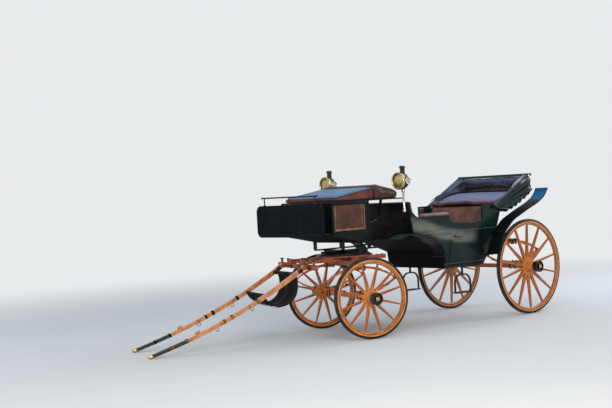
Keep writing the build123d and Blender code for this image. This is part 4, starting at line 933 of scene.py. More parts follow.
@dataclass
class Padding:
    """A stuffed piece that is cut as a prism, swollen as cloth and then sewn."""

    name: str
    outline: Sequence[Flat]
    half: float
    finish: Finish
    node: str
    cap: float
    slack: tuple[Point, Point] | None = None
    sew: Callable[[Vector, Vector], float] | None = None
    voxel: float = 0.011
    pressure: float = 4.0
    stiffness: float = 12.0
    frames: int = 14
    fill: float = 0.6

    def make(self) -> bpy.types.Object:
        """Returns:
            The finished object.
        """
        rows = [[at(x, y, z) for x, z in self.outline] for y in (-self.half, self.half)]
        piece = Shape().skin(rows).piece(self.name)
        with_modifier(piece, "REMESH", mode="VOXEL", voxel_size=self.voxel, use_smooth_shade=True)
        with_modifier(piece, "SMOOTH", factor=0.6, iterations=4)
        self._swell(piece)
        with_modifier(piece, "SUBSURF", levels=1, render_levels=1)
        self._sew(piece)
        self._settle(piece)
        smoothed(piece.data)
        finish_piece(piece, self.finish)
        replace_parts(piece, self.node)
        return piece

    def _swell(self, piece: bpy.types.Object) -> None:
        """Blow the piece up as closed cloth and cap how far each point moves."""
        scene = bpy.context.scene
        modifier = piece.modifiers.new("swell", "CLOTH")
        settings = modifier.settings
        settings.quality = 3
        settings.use_pressure = True
        settings.uniform_pressure_force = self.pressure
        settings.effector_weights.gravity = 0.0
        settings.tension_stiffness = settings.compression_stiffness = self.stiffness
        modifier.point_cache.frame_start = 1
        modifier.point_cache.frame_end = self.frames
        for number in range(self.frames):
            scene.frame_set(number + 1)
        depsgraph = bpy.context.evaluated_depsgraph_get()
        swollen = [vertex.co.copy() for vertex in piece.evaluated_get(depsgraph).data.vertices]
        piece.modifiers.clear()
        scene.frame_set(1)
        for vertex, new in zip(piece.data.vertices, swollen):
            move = new - vertex.co
            vertex.co += move * min(1.0, self.cap / max(move.length, self.cap / 2))
        piece.data.update()

    def _sew(self, piece: bpy.types.Object) -> None:
        """Sink the seams along the piece's normals."""
        if self.sew:
            moves = [v.normal * self.sew(v.co - ORIGIN, v.normal) for v in piece.data.vertices]
            for vertex, move in zip(piece.data.vertices, moves):
                vertex.co += move
            piece.data.update()

    def _settle(self, piece: bpy.types.Object) -> None:
        """Keep the piece within its node's box, let out by its slack."""
        if self.slack:
            corners = zip(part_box(self.node), self.slack, (-1, 1))
            low, high = (Vector(corner) + Vector(more) * way for corner, more, way in corners)
            for vertex in piece.data.vertices:
                vertex.co = [min(max(part, least), most) for part, least, most in zip(vertex.co, low, high)]
            piece.data.update()


@dataclass
class Assembly:
    """A group of pieces that ride on one body."""

    body: str = "coach"

    def add(
        self, name: str, shape: Shape, finish: Finish, body: str | None = None, slot: str | None = None
    ) -> bpy.types.Object:
        """Turn a shape into a finished piece.

        Args:
            name: the piece's name.
            shape: its mesh.
            finish: its finish.
            body: the body that it rides on, if it isn't the assembly's own.
            slot: the record's material slot, if it isn't the finish's own; it is not used.

        Returns:
            The new object.
        """
        return finish_piece(shape.piece(name), finish, body or self.body, slot)

    def add_padded(
        self, name: str, shape: Shape, finish: Finish, fill: float, body: str | None = None
    ) -> bpy.types.Object:
        """Turn a shape into a finished piece, as add does."""
        return self.add(name, shape, finish, body)

    def add_sheet(
        self, name: str, rows: Rows, behind: Point | Rows, finish: Finish, held: str, rests_on: str,
        fan: bool = False,
    ) -> bpy.types.Object:
        """Args:
            name: the piece's name.
            rows: the points of its face.
            behind: the step from its face to its back, or the rows of its back.
            finish: its finish.
            held: how it is held; it is not used.
            rests_on: what holds it; it is not used.
            fan: whether its rows spread from one point, so that it is cut as a triangle.

        Returns:
            The new piece.
        """
        stepped = isinstance(behind, tuple)
        backs = [[point + Vector(behind) for point in row] for row in rows] if stepped else behind
        loops = [list(row) + list(reversed(back)) for row, back in zip(rows, backs)]
        piece = self.add(name, Shape().skin(loops), finish)
        width = max(length_of(row) for row in rows)
        length = max(length_of(column) for column in zip(*rows))
        area = sum(face.area for face in piece.data.polygons) / 2
        if fan:
            length = 2 * area / width
        area = min(area, width * length)
        LOG.info("sheet %s is cut %.3f by %.3f m, %.3f square metres", name, width, length, area)
        return piece

    def build(self) -> None:
        """Make and dress the assembly's pieces."""
        raise NotImplementedError


class Side(Enum):
    """The carriage's two sides."""

    LEFT = 1
    RIGHT = -1

    @property
    def word(self) -> str:
        """The side's name as the nodes spell it."""
        return self.name.lower()

    @property
    def out(self) -> Vector:
        """The direction away from the carriage on this side."""
        return vec(0, self.value, 0)


SEWN = {"slot": "black_leather"}
RUBBER = Rubber("tyre_rubber")
IRON = Paint("black_iron_paint", rgb(14, 15, 18), rgb(98, 62, 40), shine=0.2, coat=0.12)
STEP_IRON = Paint(
    "worn_step_iron", rgb(44, 44, 46), rgb(136, 130, 122), gloss=0.4, dust=rgb(120, 112, 100),
    dust_share=0.7, metal=0.6,
)
HANDLE_PAINT = Paint(
    "black_gloss_paint", rgb(12, 14, 17), rgb(70, 52, 40), gloss=0.16, dust=rgb(90, 92, 92), dust_share=0.25
)
# Its blue dust colour is a painted sky reflection on the fender's upper tip, above 1.30 m.
REAR_FENDER_PAINT = Paint(
    "rear_fender_navy", rgb(6, 11, 13), rgb(34, 34, 34), dust=rgb(22, 104, 148), dust_share=1.5, metal=0.0,
    dust_start=0.1, shine=0.12, coat=0.06, dust_floor=1.30,
)
# Its teal dust colour is a painted sheen on what faces up.
FRONT_FENDER_PAINT = Paint(
    "front_fender_green", rgb(9, 18, 19), rgb(40, 38, 34), dust=rgb(32, 52, 54), dust_share=0.6, metal=0.0,
    dust_start=0.2, shine=0.14, coat=0.1,
)
HUB_PAINT = Paint(
    "hub_black_paint", rgb(13, 13, 15), rgb(120, 92, 50), gloss=0.14, dust=rgb(70, 66, 60), dust_share=0.2
)
WELL_PAINT = Paint(
    "well_brown_paint", rgb(17, 15, 15), rgb(50, 38, 30), gloss=0.6, dust=rgb(60, 52, 44), dust_share=0.3,
    metal=0.0, shine=0.06, coat=0.0,
)
BRASS = Metal("worn_brass", rgb(222, 172, 92), rgb(128, 88, 44))
LAMP_RIM = Metal("lamp_rim_plate", rgb(196, 172, 124), rgb(120, 92, 54), gloss=0.22, stain_share=0.6)
NICKEL = Metal("worn_nickel", rgb(206, 206, 200), rgb(120, 116, 108), gloss=0.18, stain_share=0.4)
PANE = LampGlass("lamp_pane", rgb(226, 224, 214), rgb(170, 160, 140), radius=0.04)
GEAR_VARNISH = Varnish("gear_red_varnish", rgb(160, 78, 42), rgb(88, 38, 22))
SPRING_VARNISH = Varnish("spring_orange_varnish", rgb(206, 118, 58), rgb(128, 62, 32))
SEAT_TIMBER = Varnish("seat_timber_stain", rgb(74, 46, 30), rgb(38, 24, 17), gloss=0.5)
# Its pale grey-green on what faces up and its band are painted reflections of the pale surroundings.
BODY_LACQUER = Lacquer(
    "bottle_green_lacquer", rgb(11, 36, 34), rgb(5, 17, 17), haze=rgb(60, 84, 84), dust=rgb(72, 70, 60),
    lines=((1.034, 0.0013), (0.668, 0.0013)), band=(0.900, 1.020),
)
FRONT_LACQUER = Lacquer(
    "front_dark_lacquer", rgb(20, 15, 17), rgb(9, 8, 10), haze=rgb(40, 46, 48), coat=0.06, shine=0.1
)
BOX_LACQUER = Lacquer(
    "box_green_lacquer", rgb(10, 26, 26), rgb(5, 13, 13), haze=rgb(50, 74, 76), dust_low=0.7, dust_high=1.1,
    coat=0.08, shine=0.1,
)
# Each leather's and cloth's third colour is a painted sheen on what faces up.
SEAT_LEATHER = Leather(
    "seat_plum_leather", rgb(98, 48, 38), rgb(46, 20, 17), rgb(124, 108, 126), bloom_share=0.55,
    bloom_start=0.3,
)
# The top pad's leather: its lilac-blue top is a painted sky reflection.
PAD_LEATHER_LILAC_SHEEN = Leather(
    "lilac_hood_leather", rgb(104, 82, 92), rgb(58, 42, 52), rgb(98, 112, 152), bloom_share=0.95,
    bloom_start=0.1,
)
PLUM_WELT = Leather(
    "plum_welt_leather", rgb(90, 48, 52), rgb(46, 20, 26), rgb(112, 86, 100), bloom_share=0.4, bloom_start=0.1
)
SQUAB_LEATHER = Leather(
    "squab_brown_leather", rgb(108, 68, 54), rgb(54, 28, 22), rgb(126, 104, 104), bloom_share=0.3,
    bloom_start=0.4,
)
BOX_LEATHER = Leather(
    "box_brown_leather", rgb(88, 50, 37), rgb(52, 28, 21), rgb(116, 84, 70), bloom_share=0.3, bloom_start=0.2
)
# The cushion's blue top is a painted sky reflection.
CUSHION_LEATHER = Leather(
    "driver_cushion_leather", rgb(108, 54, 38), rgb(56, 26, 20), rgb(52, 116, 156), bloom_share=1.3,
    bloom_start=0.50, crease=0.6,
)
HOOD_LEATHER = Leather(
    "hood_green_leather", rgb(14, 34, 36), rgb(6, 12, 13), rgb(48, 98, 108), bloom_share=0.6,
    bloom_start=0.3, grain=300.0, **SEWN,
)
BLACK_LEATHER = Leather(
    "black_strap_leather", rgb(9, 10, 12), rgb(5, 6, 7), rgb(26, 28, 30), bloom_share=0.2, bloom_start=0.3,
    gloss=0.45, coat=0.0, shine=0.06, **SEWN,
)
DASH_LEATHER = Leather(
    "dash_black_leather", rgb(6, 12, 13), rgb(3, 6, 7), rgb(26, 38, 42), bloom_share=0.4, bloom_start=0.3,
    grain=300.0, gloss=0.5, coat=0.0, shine=0.06,
)
PIPING = Leather(
    "piping_navy_leather", rgb(24, 26, 40), rgb(11, 12, 20), rgb(60, 66, 92), bloom_share=0.4, bloom_start=0.3
)
TAN_BEAD = Leather(
    "tan_bead_leather", rgb(176, 116, 78), rgb(110, 64, 42), rgb(200, 150, 116), bloom_share=0.3,
    bloom_start=0.2,
)
LINING = Cloth("hood_plum_lining", rgb(44, 26, 30), rgb(18, 11, 13), rgb(66, 58, 70))
# A paler, bluer copy of the plum hood lining: painted sheen on the band under the top bow and on the far leg.
LINING_LILAC_SHEEN = Cloth("hood_lilac_lining", rgb(66, 74, 96), rgb(34, 34, 44), rgb(92, 108, 136))
DRAPE_LINING = Cloth("hood_drape_lining", rgb(40, 30, 38), rgb(15, 11, 14), rgb(64, 62, 82))
# A pale rose copy of the same lining: a painted highlight on the near leg's sleeve.
LINING_ROSE_HIGHLIGHT = Cloth("hood_rose_lining", rgb(158, 132, 160), rgb(88, 66, 88), rgb(188, 172, 200))
MAT_CLOTH = Cloth("floor_mat_cloth", rgb(58, 40, 34), rgb(28, 20, 18), rgb(90, 74, 66))
THREAD = Cloth("waxed_thread", rgb(118, 96, 74), rgb(80, 62, 46), rgb(140, 124, 100), **SEWN)
DARK_THREAD = Cloth("dark_waxed_thread", rgb(40, 42, 44), rgb(22, 24, 26), rgb(66, 70, 72), **SEWN)


@dataclass
class Wheel(Assembly):
    """One wheel: striped timber, rubber tyre, black cap, and its small iron and brass."""

    end: str = "rear"
    side: Side = Side.LEFT
    radius: float = 0.55
    spokes: int = 14
    cap_reach: float = 0.165
    channel_inset: float = 0.0265
    channel_height: float = 0.009
    channel_half: float = 0.0206
    channel_wall: float = 0.004
    bolt_inset: float = 0.0575
    bolt_radius: float = 0.0042
    felloe_half: float = 0.0198
    boss_radius: float = 0.021
    boss_height: float = 0.006

    def build(self) -> None:
        """Dress the wheel's nodes and add its channel rims, bolts and brass boss."""
        label = f"{self.end}_{self.side.word}"
        turn = STEER_AT_REST if self.end == "front" else 0.0
        hub = middle_of(f"tyre_{label}")
        varnish = WheelVarnish(
            f"wheel_varnish_{label}", rgb(218, 140, 60), rgb(148, 78, 30), gloss=0.26, hub=tuple(hub),
            turn=turn, radius=self.radius, spokes=self.spokes,
        )
        dress(varnish, f"wheel_{label}")
        dress(RUBBER, f"tyre_{label}")
        dress(HUB_PAINT, f"hub_cap_{label}")
        place = Matrix.Translation(hub) @ Matrix.Rotation(turn, 4, "Z")
        place = place @ Matrix.Rotation(math.radians(-90 * self.side.value), 4, "X")
        self.add(f"tyre_channel_{label}", self._channel(place), IRON)
        self.add(f"felloe_bolts_{label}", self._bolts(place), IRON)
        self.add(f"hub_boss_{label}", self._boss(place), BRASS)

    def _channel(self, place: Matrix) -> Shape:
        """Make the two thin steel rims that hold the tyre."""
        shape = Shape()
        low = self.radius - self.channel_inset
        high = low + self.channel_height
        for sign in (-1, 1):
            inner, outer = sign * (self.channel_half - self.channel_wall), sign * self.channel_half
            shape.hoop(((low, inner), (low, outer), (high, outer), (high, inner)), place, 96)
        return shape

    def _bolts(self, place: Matrix) -> Shape:
        """Make the round heads of the bolts on both faces of the felloe."""
        shape = Shape()
        out = Matrix.Translation((self.radius - self.bolt_inset, 0, self.felloe_half))
        wide = self.bolt_radius
        head = ((wide, 0.0), (wide, 0.0012), (wide * 0.6, 0.0026), (0, 0.003))
        for turn in ring(self.spokes):
            for face in (0.0, math.pi):
                stand = place @ Matrix.Rotation(face, 4, "X") @ Matrix.Rotation(turn, 4, "Z") @ out
                shape.lathe(head, stand, 8)
        return shape

    def _boss(self, place: Matrix) -> Shape:
        """Make the turned brass boss in the middle of the cap."""
        start = self.cap_reach - 0.014 + 0.0196
        steps = (
            (1.0, 0.0), (1.0, 0.002), (0.82, 0.003), (0.78, 0.0022), (0.5, self.boss_height * 0.8),
            (0.0, self.boss_height),
        )
        profile = [(self.boss_radius * share, start + height) for share, height in steps]
        return Shape().lathe(profile, place, 28)


COACH_NODES: tuple[tuple[Finish, str], ...] = (
    (BODY_LACQUER, "body_side_left body_side_right door_left door_right body_back"),
    (FRONT_LACQUER, "body_front"),
    (WELL_PAINT, "body_floor"),
    (HANDLE_PAINT, "door_handle_left door_handle_right"),
    (REAR_FENDER_PAINT, "rear_fenders"),
    (FRONT_FENDER_PAINT, "front_fenders"),
    (IRON, "rear_irons front_irons seat_irons door_steps rein_rail upper_turntable"),
    (SEAT_TIMBER, "seat_boards"),
    (BOX_LACQUER, "driver_box"),
    (DASH_LEATHER, "dashboard"),
    (HOOD_LEATHER, "hood_bow"),
    (SPRING_VARNISH, "rear_axle rear_springs front_springs front_axle"),
    (GEAR_VARNISH, "fore_bed futchells splinter_bar"),
    (HUB_PAINT, "lamps"),
)


@dataclass
class Coachwork(Assembly):
    """The lacquered shell, its doors, irons, fenders, steps and running gear."""

    def build(self) -> None:
        """Dress the rigid nodes."""
        for finish, nodes in COACH_NODES:
            dress(finish, nodes)


@dataclass
class Seats(Assembly):
    """The two facing seats in the body: cushions, squabs, top roll and side rolls."""

    flute: float = 0.062
    flute_depth: float = 0.013
    seam: float = 0.163
    seam_depth: float = 0.006
    rear_half: float = 0.488
    roll_half: float = 0.503
    pad_half: float = 0.508
    lean: float = 0.087
    side_roll: float = 0.04
    roll: Flat = (0.398, 1.318)
    roll_size: Flat = (0.030, 0.026)
    roll_pitch: float = 0.11
    pad_top: tuple[Flat, ...] = (
        (0.402, 1.334), (0.33, 1.364), (0.22, 1.393), (0.12, 1.413), (0.055, 1.421), (0.01, 1.414),
        (-0.02, 1.398),
    )
    pad_under: tuple[Flat, ...] = (
        (-0.02, 1.390), (0.08, 1.375), (0.22, 1.350), (0.34, 1.318), (0.388, 1.305)
    )

    def _flutes(self, co: Vector, normal: Vector) -> float:
        """Return how far a point sinks into the sewn flutes of a squab."""
        wave = abs(math.sin(math.pi * co.y / self.flute))
        return -self.flute_depth * (1 - min(1.0, wave / 0.75)) ** 1.5 if normal.x > 0.25 else 0.0

    def _cushion_seams(self, co: Vector, normal: Vector) -> float:
        """Return how far a point sinks into a cushion's cross seams."""
        wave = abs(math.sin(math.pi * co.y / self.seam))
        return -self.seam_depth * (1 - min(1.0, wave / 0.22)) ** 1.5 if normal.z > 0.3 else 0.0

    def build(self) -> None:
        """Make the soft parts of both seats."""
        self._rear_cushion()
        self._rear_back()
        self.add_padded("rear_top_pad", self._top_pad(), PAD_LEATHER_LILAC_SHEEN, 0.6)
        self._front_seat()
        for side in Side:
            self._side_roll(side)

    def _rear_cushion(self) -> None:
        """Make the rear cushion with its welt."""
        x0, x1, z0, z1, half = span_of("rear_seat_cushion")
        top = z1 - 0.008
        outline = ((x0, z0), (x1 - 0.02, z0), (x1, z0 + 0.03), (x1, z1 - 0.035), (x1 - 0.03, top), (x0, top))
        Padding(
            "rear_cushion", outline, half - 0.006, SEAT_LEATHER, "rear_seat_cushion", 0.012,
            ((0, 0, 0), (0.006, 0, 0.012)), self._cushion_seams,
        ).make()
        welt = Shape()
        for z in (z1 - 0.026, z0 + 0.03):
            line = [at(x1 - 0.004, (half - 0.012) * (2 * share - 1), z) for share in shares(24)]
            welt.tube(line, 0.0045, 8)
        self.add("rear_cushion_welt", welt, BLACK_LEATHER, slot="brown_leather")

    def _rear_back(self) -> None:
        """Make the fluted squab and the roll along its top."""
        x0, _, z0, _, _ = span_of("rear_seat_back")
        squab = (
            (x0 + 0.164, z0), (0.545, z0), (0.548, z0 + 0.05), (0.498, 1.12), (0.42, 1.288), (0.364, 1.290),
            (0.380, 1.15),
        )
        Padding(
            "rear_squab", squab, self.rear_half, SQUAB_LEATHER, "rear_seat_back", 0.010, sew=self._flutes
        ).make()
        rows = []
        for step in shares(70):
            share = 2 * step - 1
            y = self.roll_half * share
            slim = max(0.3, (1 - abs(share) ** 16) ** 0.5)
            slim *= 1 - 0.10 * (1 - abs(math.sin(math.pi * y / self.roll_pitch))) ** 4
            x = self.roll[0] + 0.004 * math.cos(y * 14)
            z = self.roll[1] + 0.005 * math.cos(y * 9.0) + 0.003 * math.sin(y * 23.0)
            deep, tall = (size * slim for size in self.roll_size)
            rows.append([at(x + deep * math.cos(turn), y, z + tall * math.sin(turn)) for turn in ring(20)])
        self.add_padded("rear_top_roll", Shape().skin(rows), PLUM_WELT, 0.8)

    def _top_pad(self) -> Shape:
        """Make the smooth padded leather that slopes up from the seat's back into the hood."""
        top, under = level_line(self.pad_top, 5), level_line(self.pad_under, 4)
        rows = []
        for step in shares(60):
            share = 2 * step - 1
            y = self.pad_half * share
            slack = 0.35 * abs(share) ** 12
            row = []
            for along, point in zip(shares(len(top) - 1), top):
                fold = 0.0045 * math.sin(5.2 * y + 3 * along)
                fold += 0.003 * noise.noise(vec(y * 6, along * 3, 5.5))
                lift = (0.012 * math.sin(math.pi * along) + fold) * (1 - slack) - 0.01 * slack
                row.append(at(point.x, y, point.z + lift))
            rows.append(row + [at(point.x, y, point.z + 0.008 * slack) for point in under])
        return Shape().skin(rows)

    def _front_seat(self) -> None:
        """Make the front cushion and the front squab."""
        x0, x1, z0, z1, half = span_of("front_seat_cushion")
        top = z1 - 0.008
        outline = ((x0 + 0.02, z0), (x1, z0), (x1, top), (x0 + 0.03, top), (x0, z1 - 0.035), (x0, z0 + 0.025))
        Padding(
            "front_cushion", outline, half - 0.006, SEAT_LEATHER, "front_seat_cushion", 0.012,
            ((0.006, 0, 0), (0, 0, 0.01)), self._cushion_seams,
        ).make()
        _, x1, z0, z1, half = span_of("front_seat_back")
        foot, top = x1 - self.lean, z1 - 0.02
        squab = (
            (foot - 0.062, z0), (foot - 0.006, z0), (x1 - 0.012, top), (x1 - 0.03, z1 - 0.003),
            (x1 - 0.062, top),
        )
        Padding(
            "front_squab", squab, half - 0.012, SQUAB_LEATHER, "front_seat_back", 0.01,
            sew=lambda co, normal: self._flutes(co, -normal),
        ).make()

    def _side_roll(self, side: Side) -> None:
        """Make the padded roll on one front quarter, rounded at both ends."""
        start, end, base, _, half = span_of("side_rolls")
        rows = []
        for share in shares(40):
            slim = min(1.0, math.sin(math.pi * min(max(share, 0.004), 0.996)) * 3.2) ** 0.45
            x = start + (end - start) * share
            row = []
            for turn in ring(24):
                y = half - self.side_roll + self.side_roll * slim * math.cos(turn)
                row.append(at(x, side.value * y, base + max(0.0, 0.038 * slim * math.sin(turn)) + 0.001))
            rows.append(row)
        piece = self.add_padded(f"side_roll_{side.word}", Shape().skin(rows), SEAT_LEATHER, 0.8)
        if side is Side.LEFT:
            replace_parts(piece, "side_rolls")


@dataclass
class FoldedHood(Assembly):
    """The folded hood: pleated leather at the sides and back, and its lining inside."""

    pivot: Flat = (0.425, 1.262)
    corner: Flat = (-0.185, 1.600)
    low: Flat = (-0.217, 1.432)
    foot: Flat = (0.266, 1.215)
    turn_share: float = 0.24
    bed: tuple[Flat, ...] = (
        (-0.150, 1.500), (-0.125, 1.462), (-0.085, 1.430), (0.055, 1.424), (0.12, 1.416), (0.22, 1.396),
        (0.33, 1.366), (0.402, 1.336),
    )
    hollow: tuple[Flat, ...] = (
        (-0.170, 1.590), (-0.160, 1.545), (-0.150, 1.500), (-0.125, 1.462), (-0.085, 1.428), (-0.045, 1.405),
        (0.0, 1.375), (0.06, 1.345), (0.2, 1.31),
    )
    inner: float = 0.526
    outer: float = 0.556

    def _edge(self, share: float) -> Flat:
        """Return the point of the hood's outer edge at a share of the way from corner to foot."""
        first = share < self.turn_share
        t = share / self.turn_share if first else (share - self.turn_share) / (1 - self.turn_share)
        (x0, z0), (x1, z1) = (self.corner, self.low) if first else (self.low, self.foot)
        bulge = 0.0 if first else 0.024 * math.sin(math.pi * t) ** 0.8
        return x0 + (x1 - x0) * t - bulge * 0.41, z0 + (z1 - z0) * t - bulge * 0.91

    def build(self) -> None:
        """Make the side pleats, the back folds and the lining."""
        bow = "hood_bow"
        for side in Side:
            inward = (0, -0.002 * side.value, 0)
            name = f"hood_side_{side.word}"
            piece = self.add_sheet(name, self._fan(side), inward, HOOD_LEATHER, "folded", bow, True)
            if side is Side.LEFT:
                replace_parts(piece, "hood_cover")
        self.add_sheet("hood_back", self._back(), (0.0022, 0, 0.0016), HOOD_LEATHER, "folded", bow)
        self.add_sheet("hood_lining", self._lining(), (-0.0012, 0, -0.0012), LINING, "folded", bow)
        self.add_sheet("hood_lining_band", self._band(), (-0.0016, 0, 0), LINING_LILAC_SHEEN, "gathered", bow)
        self.add_sheet("hood_drape", self._drape(), (0, 0, -0.0016), DRAPE_LINING, "gathered", bow)
        # The near leg's sleeve gets the rose copy of the lining as a painted highlight, the far one the lilac
        # copy as a painted sheen.
        for side, finish in ((Side.LEFT, LINING_ROSE_HIGHLIGHT), (Side.RIGHT, LINING_LILAC_SHEEN)):
            self.add_padded(f"hood_leg_lining_{side.word}", self._leg_lining(side), finish, 0.5)
            outward = (0, 0.0016 * side.value, 0)
            name = f"hood_side_lining_{side.word}"
            self.add_sheet(name, self._side_lining(side), outward, LINING, "gathered", bow, True)

    def _drape(self) -> list[list[Vector]]:
        """Make the loose lining that lies in folds over the pad's right-hand end."""

        def point(share: float, across: float) -> Vector:
            """Return a point at a share of the way up the leg and of the way across."""
            x = 0.395 - 0.54 * share
            up = (self.pivot[0] - x) / (self.pivot[0] - self.corner[0])
            leg = self.pivot[1] + up * (self.corner[1] - self.pivot[1])
            bed = level_at(self.bed, x)
            drift = noise.noise(vec(share * 3.5, across * 1.5, 6.2))
            reach = 0.105 + 0.035 * math.sin(math.pi * share) + 0.018 * math.sin(share * 11 + 1.2)
            fold = abs(math.sin(math.pi * (2.6 * across + 0.7 * drift + 0.5 * share)))
            base = max(leg + 0.002, bed + 0.024) * (1 - across) + (bed + 0.020) * across
            crown = 0.020 * math.sin(math.pi * min(1.0, across * 1.1)) * (0.6 + 0.4 * share)
            crease = 0.003 * noise.noise(vec(x * 26, across * 6, 2.7))
            z = base + crown + 0.017 * fold * (1 - 0.35 * across) + crease
            return at(x + 0.010 * drift, -self.inner + 0.012 + reach * across, z)

        return grid(56, 40, point)

    def _spoke(self, share: float, reach: float, grow: float = 1.0) -> Flat:
        """Return the (X, Z) place at a reach of the way from the pivot to the outer edge."""
        return tuple(p + (e - p) * reach * grow for p, e in zip(self.pivot, self._edge(share)))

    def _fan(self, side: Side) -> list[list[Vector]]:
        """Make the pleats that radiate from one pivot."""
        pleats, per = 6, 10

        def point(share: float, along: float) -> Vector:
            """Return a point at a share of the pleats and of the way from the pivot."""
            within = (round(share * pleats * per) % per) / per
            crest = math.sin(math.pi * within) ** 0.7
            s = 0.06 + 0.94 * along
            x, z = self._spoke(share, s, 1 + 0.018 * crest + 0.006 * math.sin(share * 31))
            z -= 0.012 * math.sin(math.pi * s) * within
            wrinkle = 0.003 * noise.noise(vec(x * 14, z * 14, side.value * 3.0))
            y = self.inner + 0.006 + (self.outer - self.inner - 0.008) * crest * min(1.0, 0.35 + s) + wrinkle
            return at(x, side.value * min(y, self.outer), z)

        return grid(pleats * per, 14, point)

    def _back(self) -> list[list[Vector]]:
        """Make the folds that lie across the hood's back and under it."""
        folds, per = 8, 8

        def point(share: float, across: float) -> Vector:
            """Return a point at a share of the folds and of the way across."""
            x0, z0 = self._edge(share)
            (x1, z1), (x2, z2) = self._edge(min(1.0, share + 0.01)), self._edge(max(0.0, share - 0.01))
            length = math.hypot(x1 - x2, z1 - z2)
            crest = math.sin(math.pi * (round(share * folds * per) % per) / per) ** 0.8
            y = (self.inner + 0.01) * (2 * across - 1)
            lump = noise.noise(vec(y * 5, share * 9, 2.3))
            reach = crest * (0.022 + 0.008 * lump) - 0.004 * (1 - (y / self.inner) ** 2)
            return at(x0 + (z1 - z2) / length * reach, y, z0 - (x1 - x2) / length * reach - 0.004 * lump)

        return grid(folds * per, 44, point)

    def _lining(self) -> list[list[Vector]]:
        """Make the crumpled lining in the hollow between the top bow and the smooth pad."""
        line = level_line(self.hollow, 8)

        def point(share: float, across: float) -> Vector:
            """Return a point at a share of the way down and of the way across."""
            foot = line[round(share * (len(line) - 1))]
            y = (self.inner - 0.004) * (2 * across - 1)
            drift = noise.noise(vec(y * 3.1, share * 2.0, 0.7))
            ridge = 1 - 2 * abs(math.sin((share * 4.2 + 0.8 * drift + 0.1 * math.sin(y * 8)) * math.pi))
            tuck = 1 - 2 * abs(noise.noise(vec(y * 7, share * 5, 8.1))) ** 0.7
            lift = 0.018 * ridge + 0.014 * tuck + 0.007 * noise.noise(vec(y * 15, share * 16, 4.1))
            lift *= math.sin(math.pi * min(1.0, share * 1.15 + 0.04)) ** 0.6
            return at(foot.x + lift * 0.9, y, foot.z + lift * 0.5)

        return grid(len(line) - 1, 90, point)

    def _band(self) -> list[list[Vector]]:
        """Make the lining that hangs from the top bow in a loose, uneven band; its paleness is painted sheen.
        """

        def point(share: float, across: float) -> Vector:
            """Return a point at a share of the way down and of the way across."""
            edge = 2 * across - 1
            y = (self.inner - 0.006) * edge
            drop = 0.078 + 0.022 * noise.noise(vec(y * 4.0, 1.1, 0.3)) - 0.030 * max(0.0, -edge) ** 3
            drop -= 0.045 * max(0.0, edge - 0.55)
            swing = 0.013 * math.sin(y * 23 + 1.6 * noise.noise(vec(y * 3, 2.0, 0.0))) * share
            roll = 0.016 * math.sin(math.pi * min(1.0, share * 1.05)) + 0.010 * share * share
            crease = 0.004 * noise.noise(vec(y * 12, share * 5, 3.3))
            return at(-0.158 + roll + swing + crease, y, 1.592 - drop * share)

        return grid(24, 110, point)

    def _leg_lining(self, side: Side) -> Shape:
        """Make the lining sleeve sewn inside one leg of the top bow, lilac on the far leg and rose on the
        near one, both painted light.
        """
        start, end = (vec(x, side.value * (self.inner - 0.014), z) for x, z in (self.pivot, self.corner))
        lumps = [(share, 0.006 + 0.003 * math.sin(share * 19)) for share in shares(24)]
        path = [ORIGIN + start.lerp(end, share) + vec(0, 0, lump) for share, lump in lumps]
        wide, sag = (0.026, 0.0) if side is Side.LEFT else (0.012, 0.022)

        def reach(share: float) -> float:
            """Return half the sleeve's width at a share of the way up the leg."""
            full = 0.026 + 0.005 * math.sin(share * 9 + 1) + sag * math.sin(math.pi * share)
            return full + wide * max(0.0, min(1.0, (share - 0.55) / 0.2))

        return Shape().tube(path, reach, 14, flat=0.5)

    def _side_lining(self, side: Side) -> list[list[Vector]]:
        """Make the lining that hangs inside one side of the hood."""

        def point(share: float, along: float) -> Vector:
            """Return a point at a share of the edge and of the way from the pivot."""
            s = 0.08 + 0.9 * along
            x, z = self._spoke(share, s)
            fold = math.sin(share * 34 + 0.8 * noise.noise(vec(x * 7, z * 7, 1.0)))
            return at(x, side.value * (self.inner - 0.006 - 0.009 * (1 + fold) * s), z)

        return grid(32, 12, point)


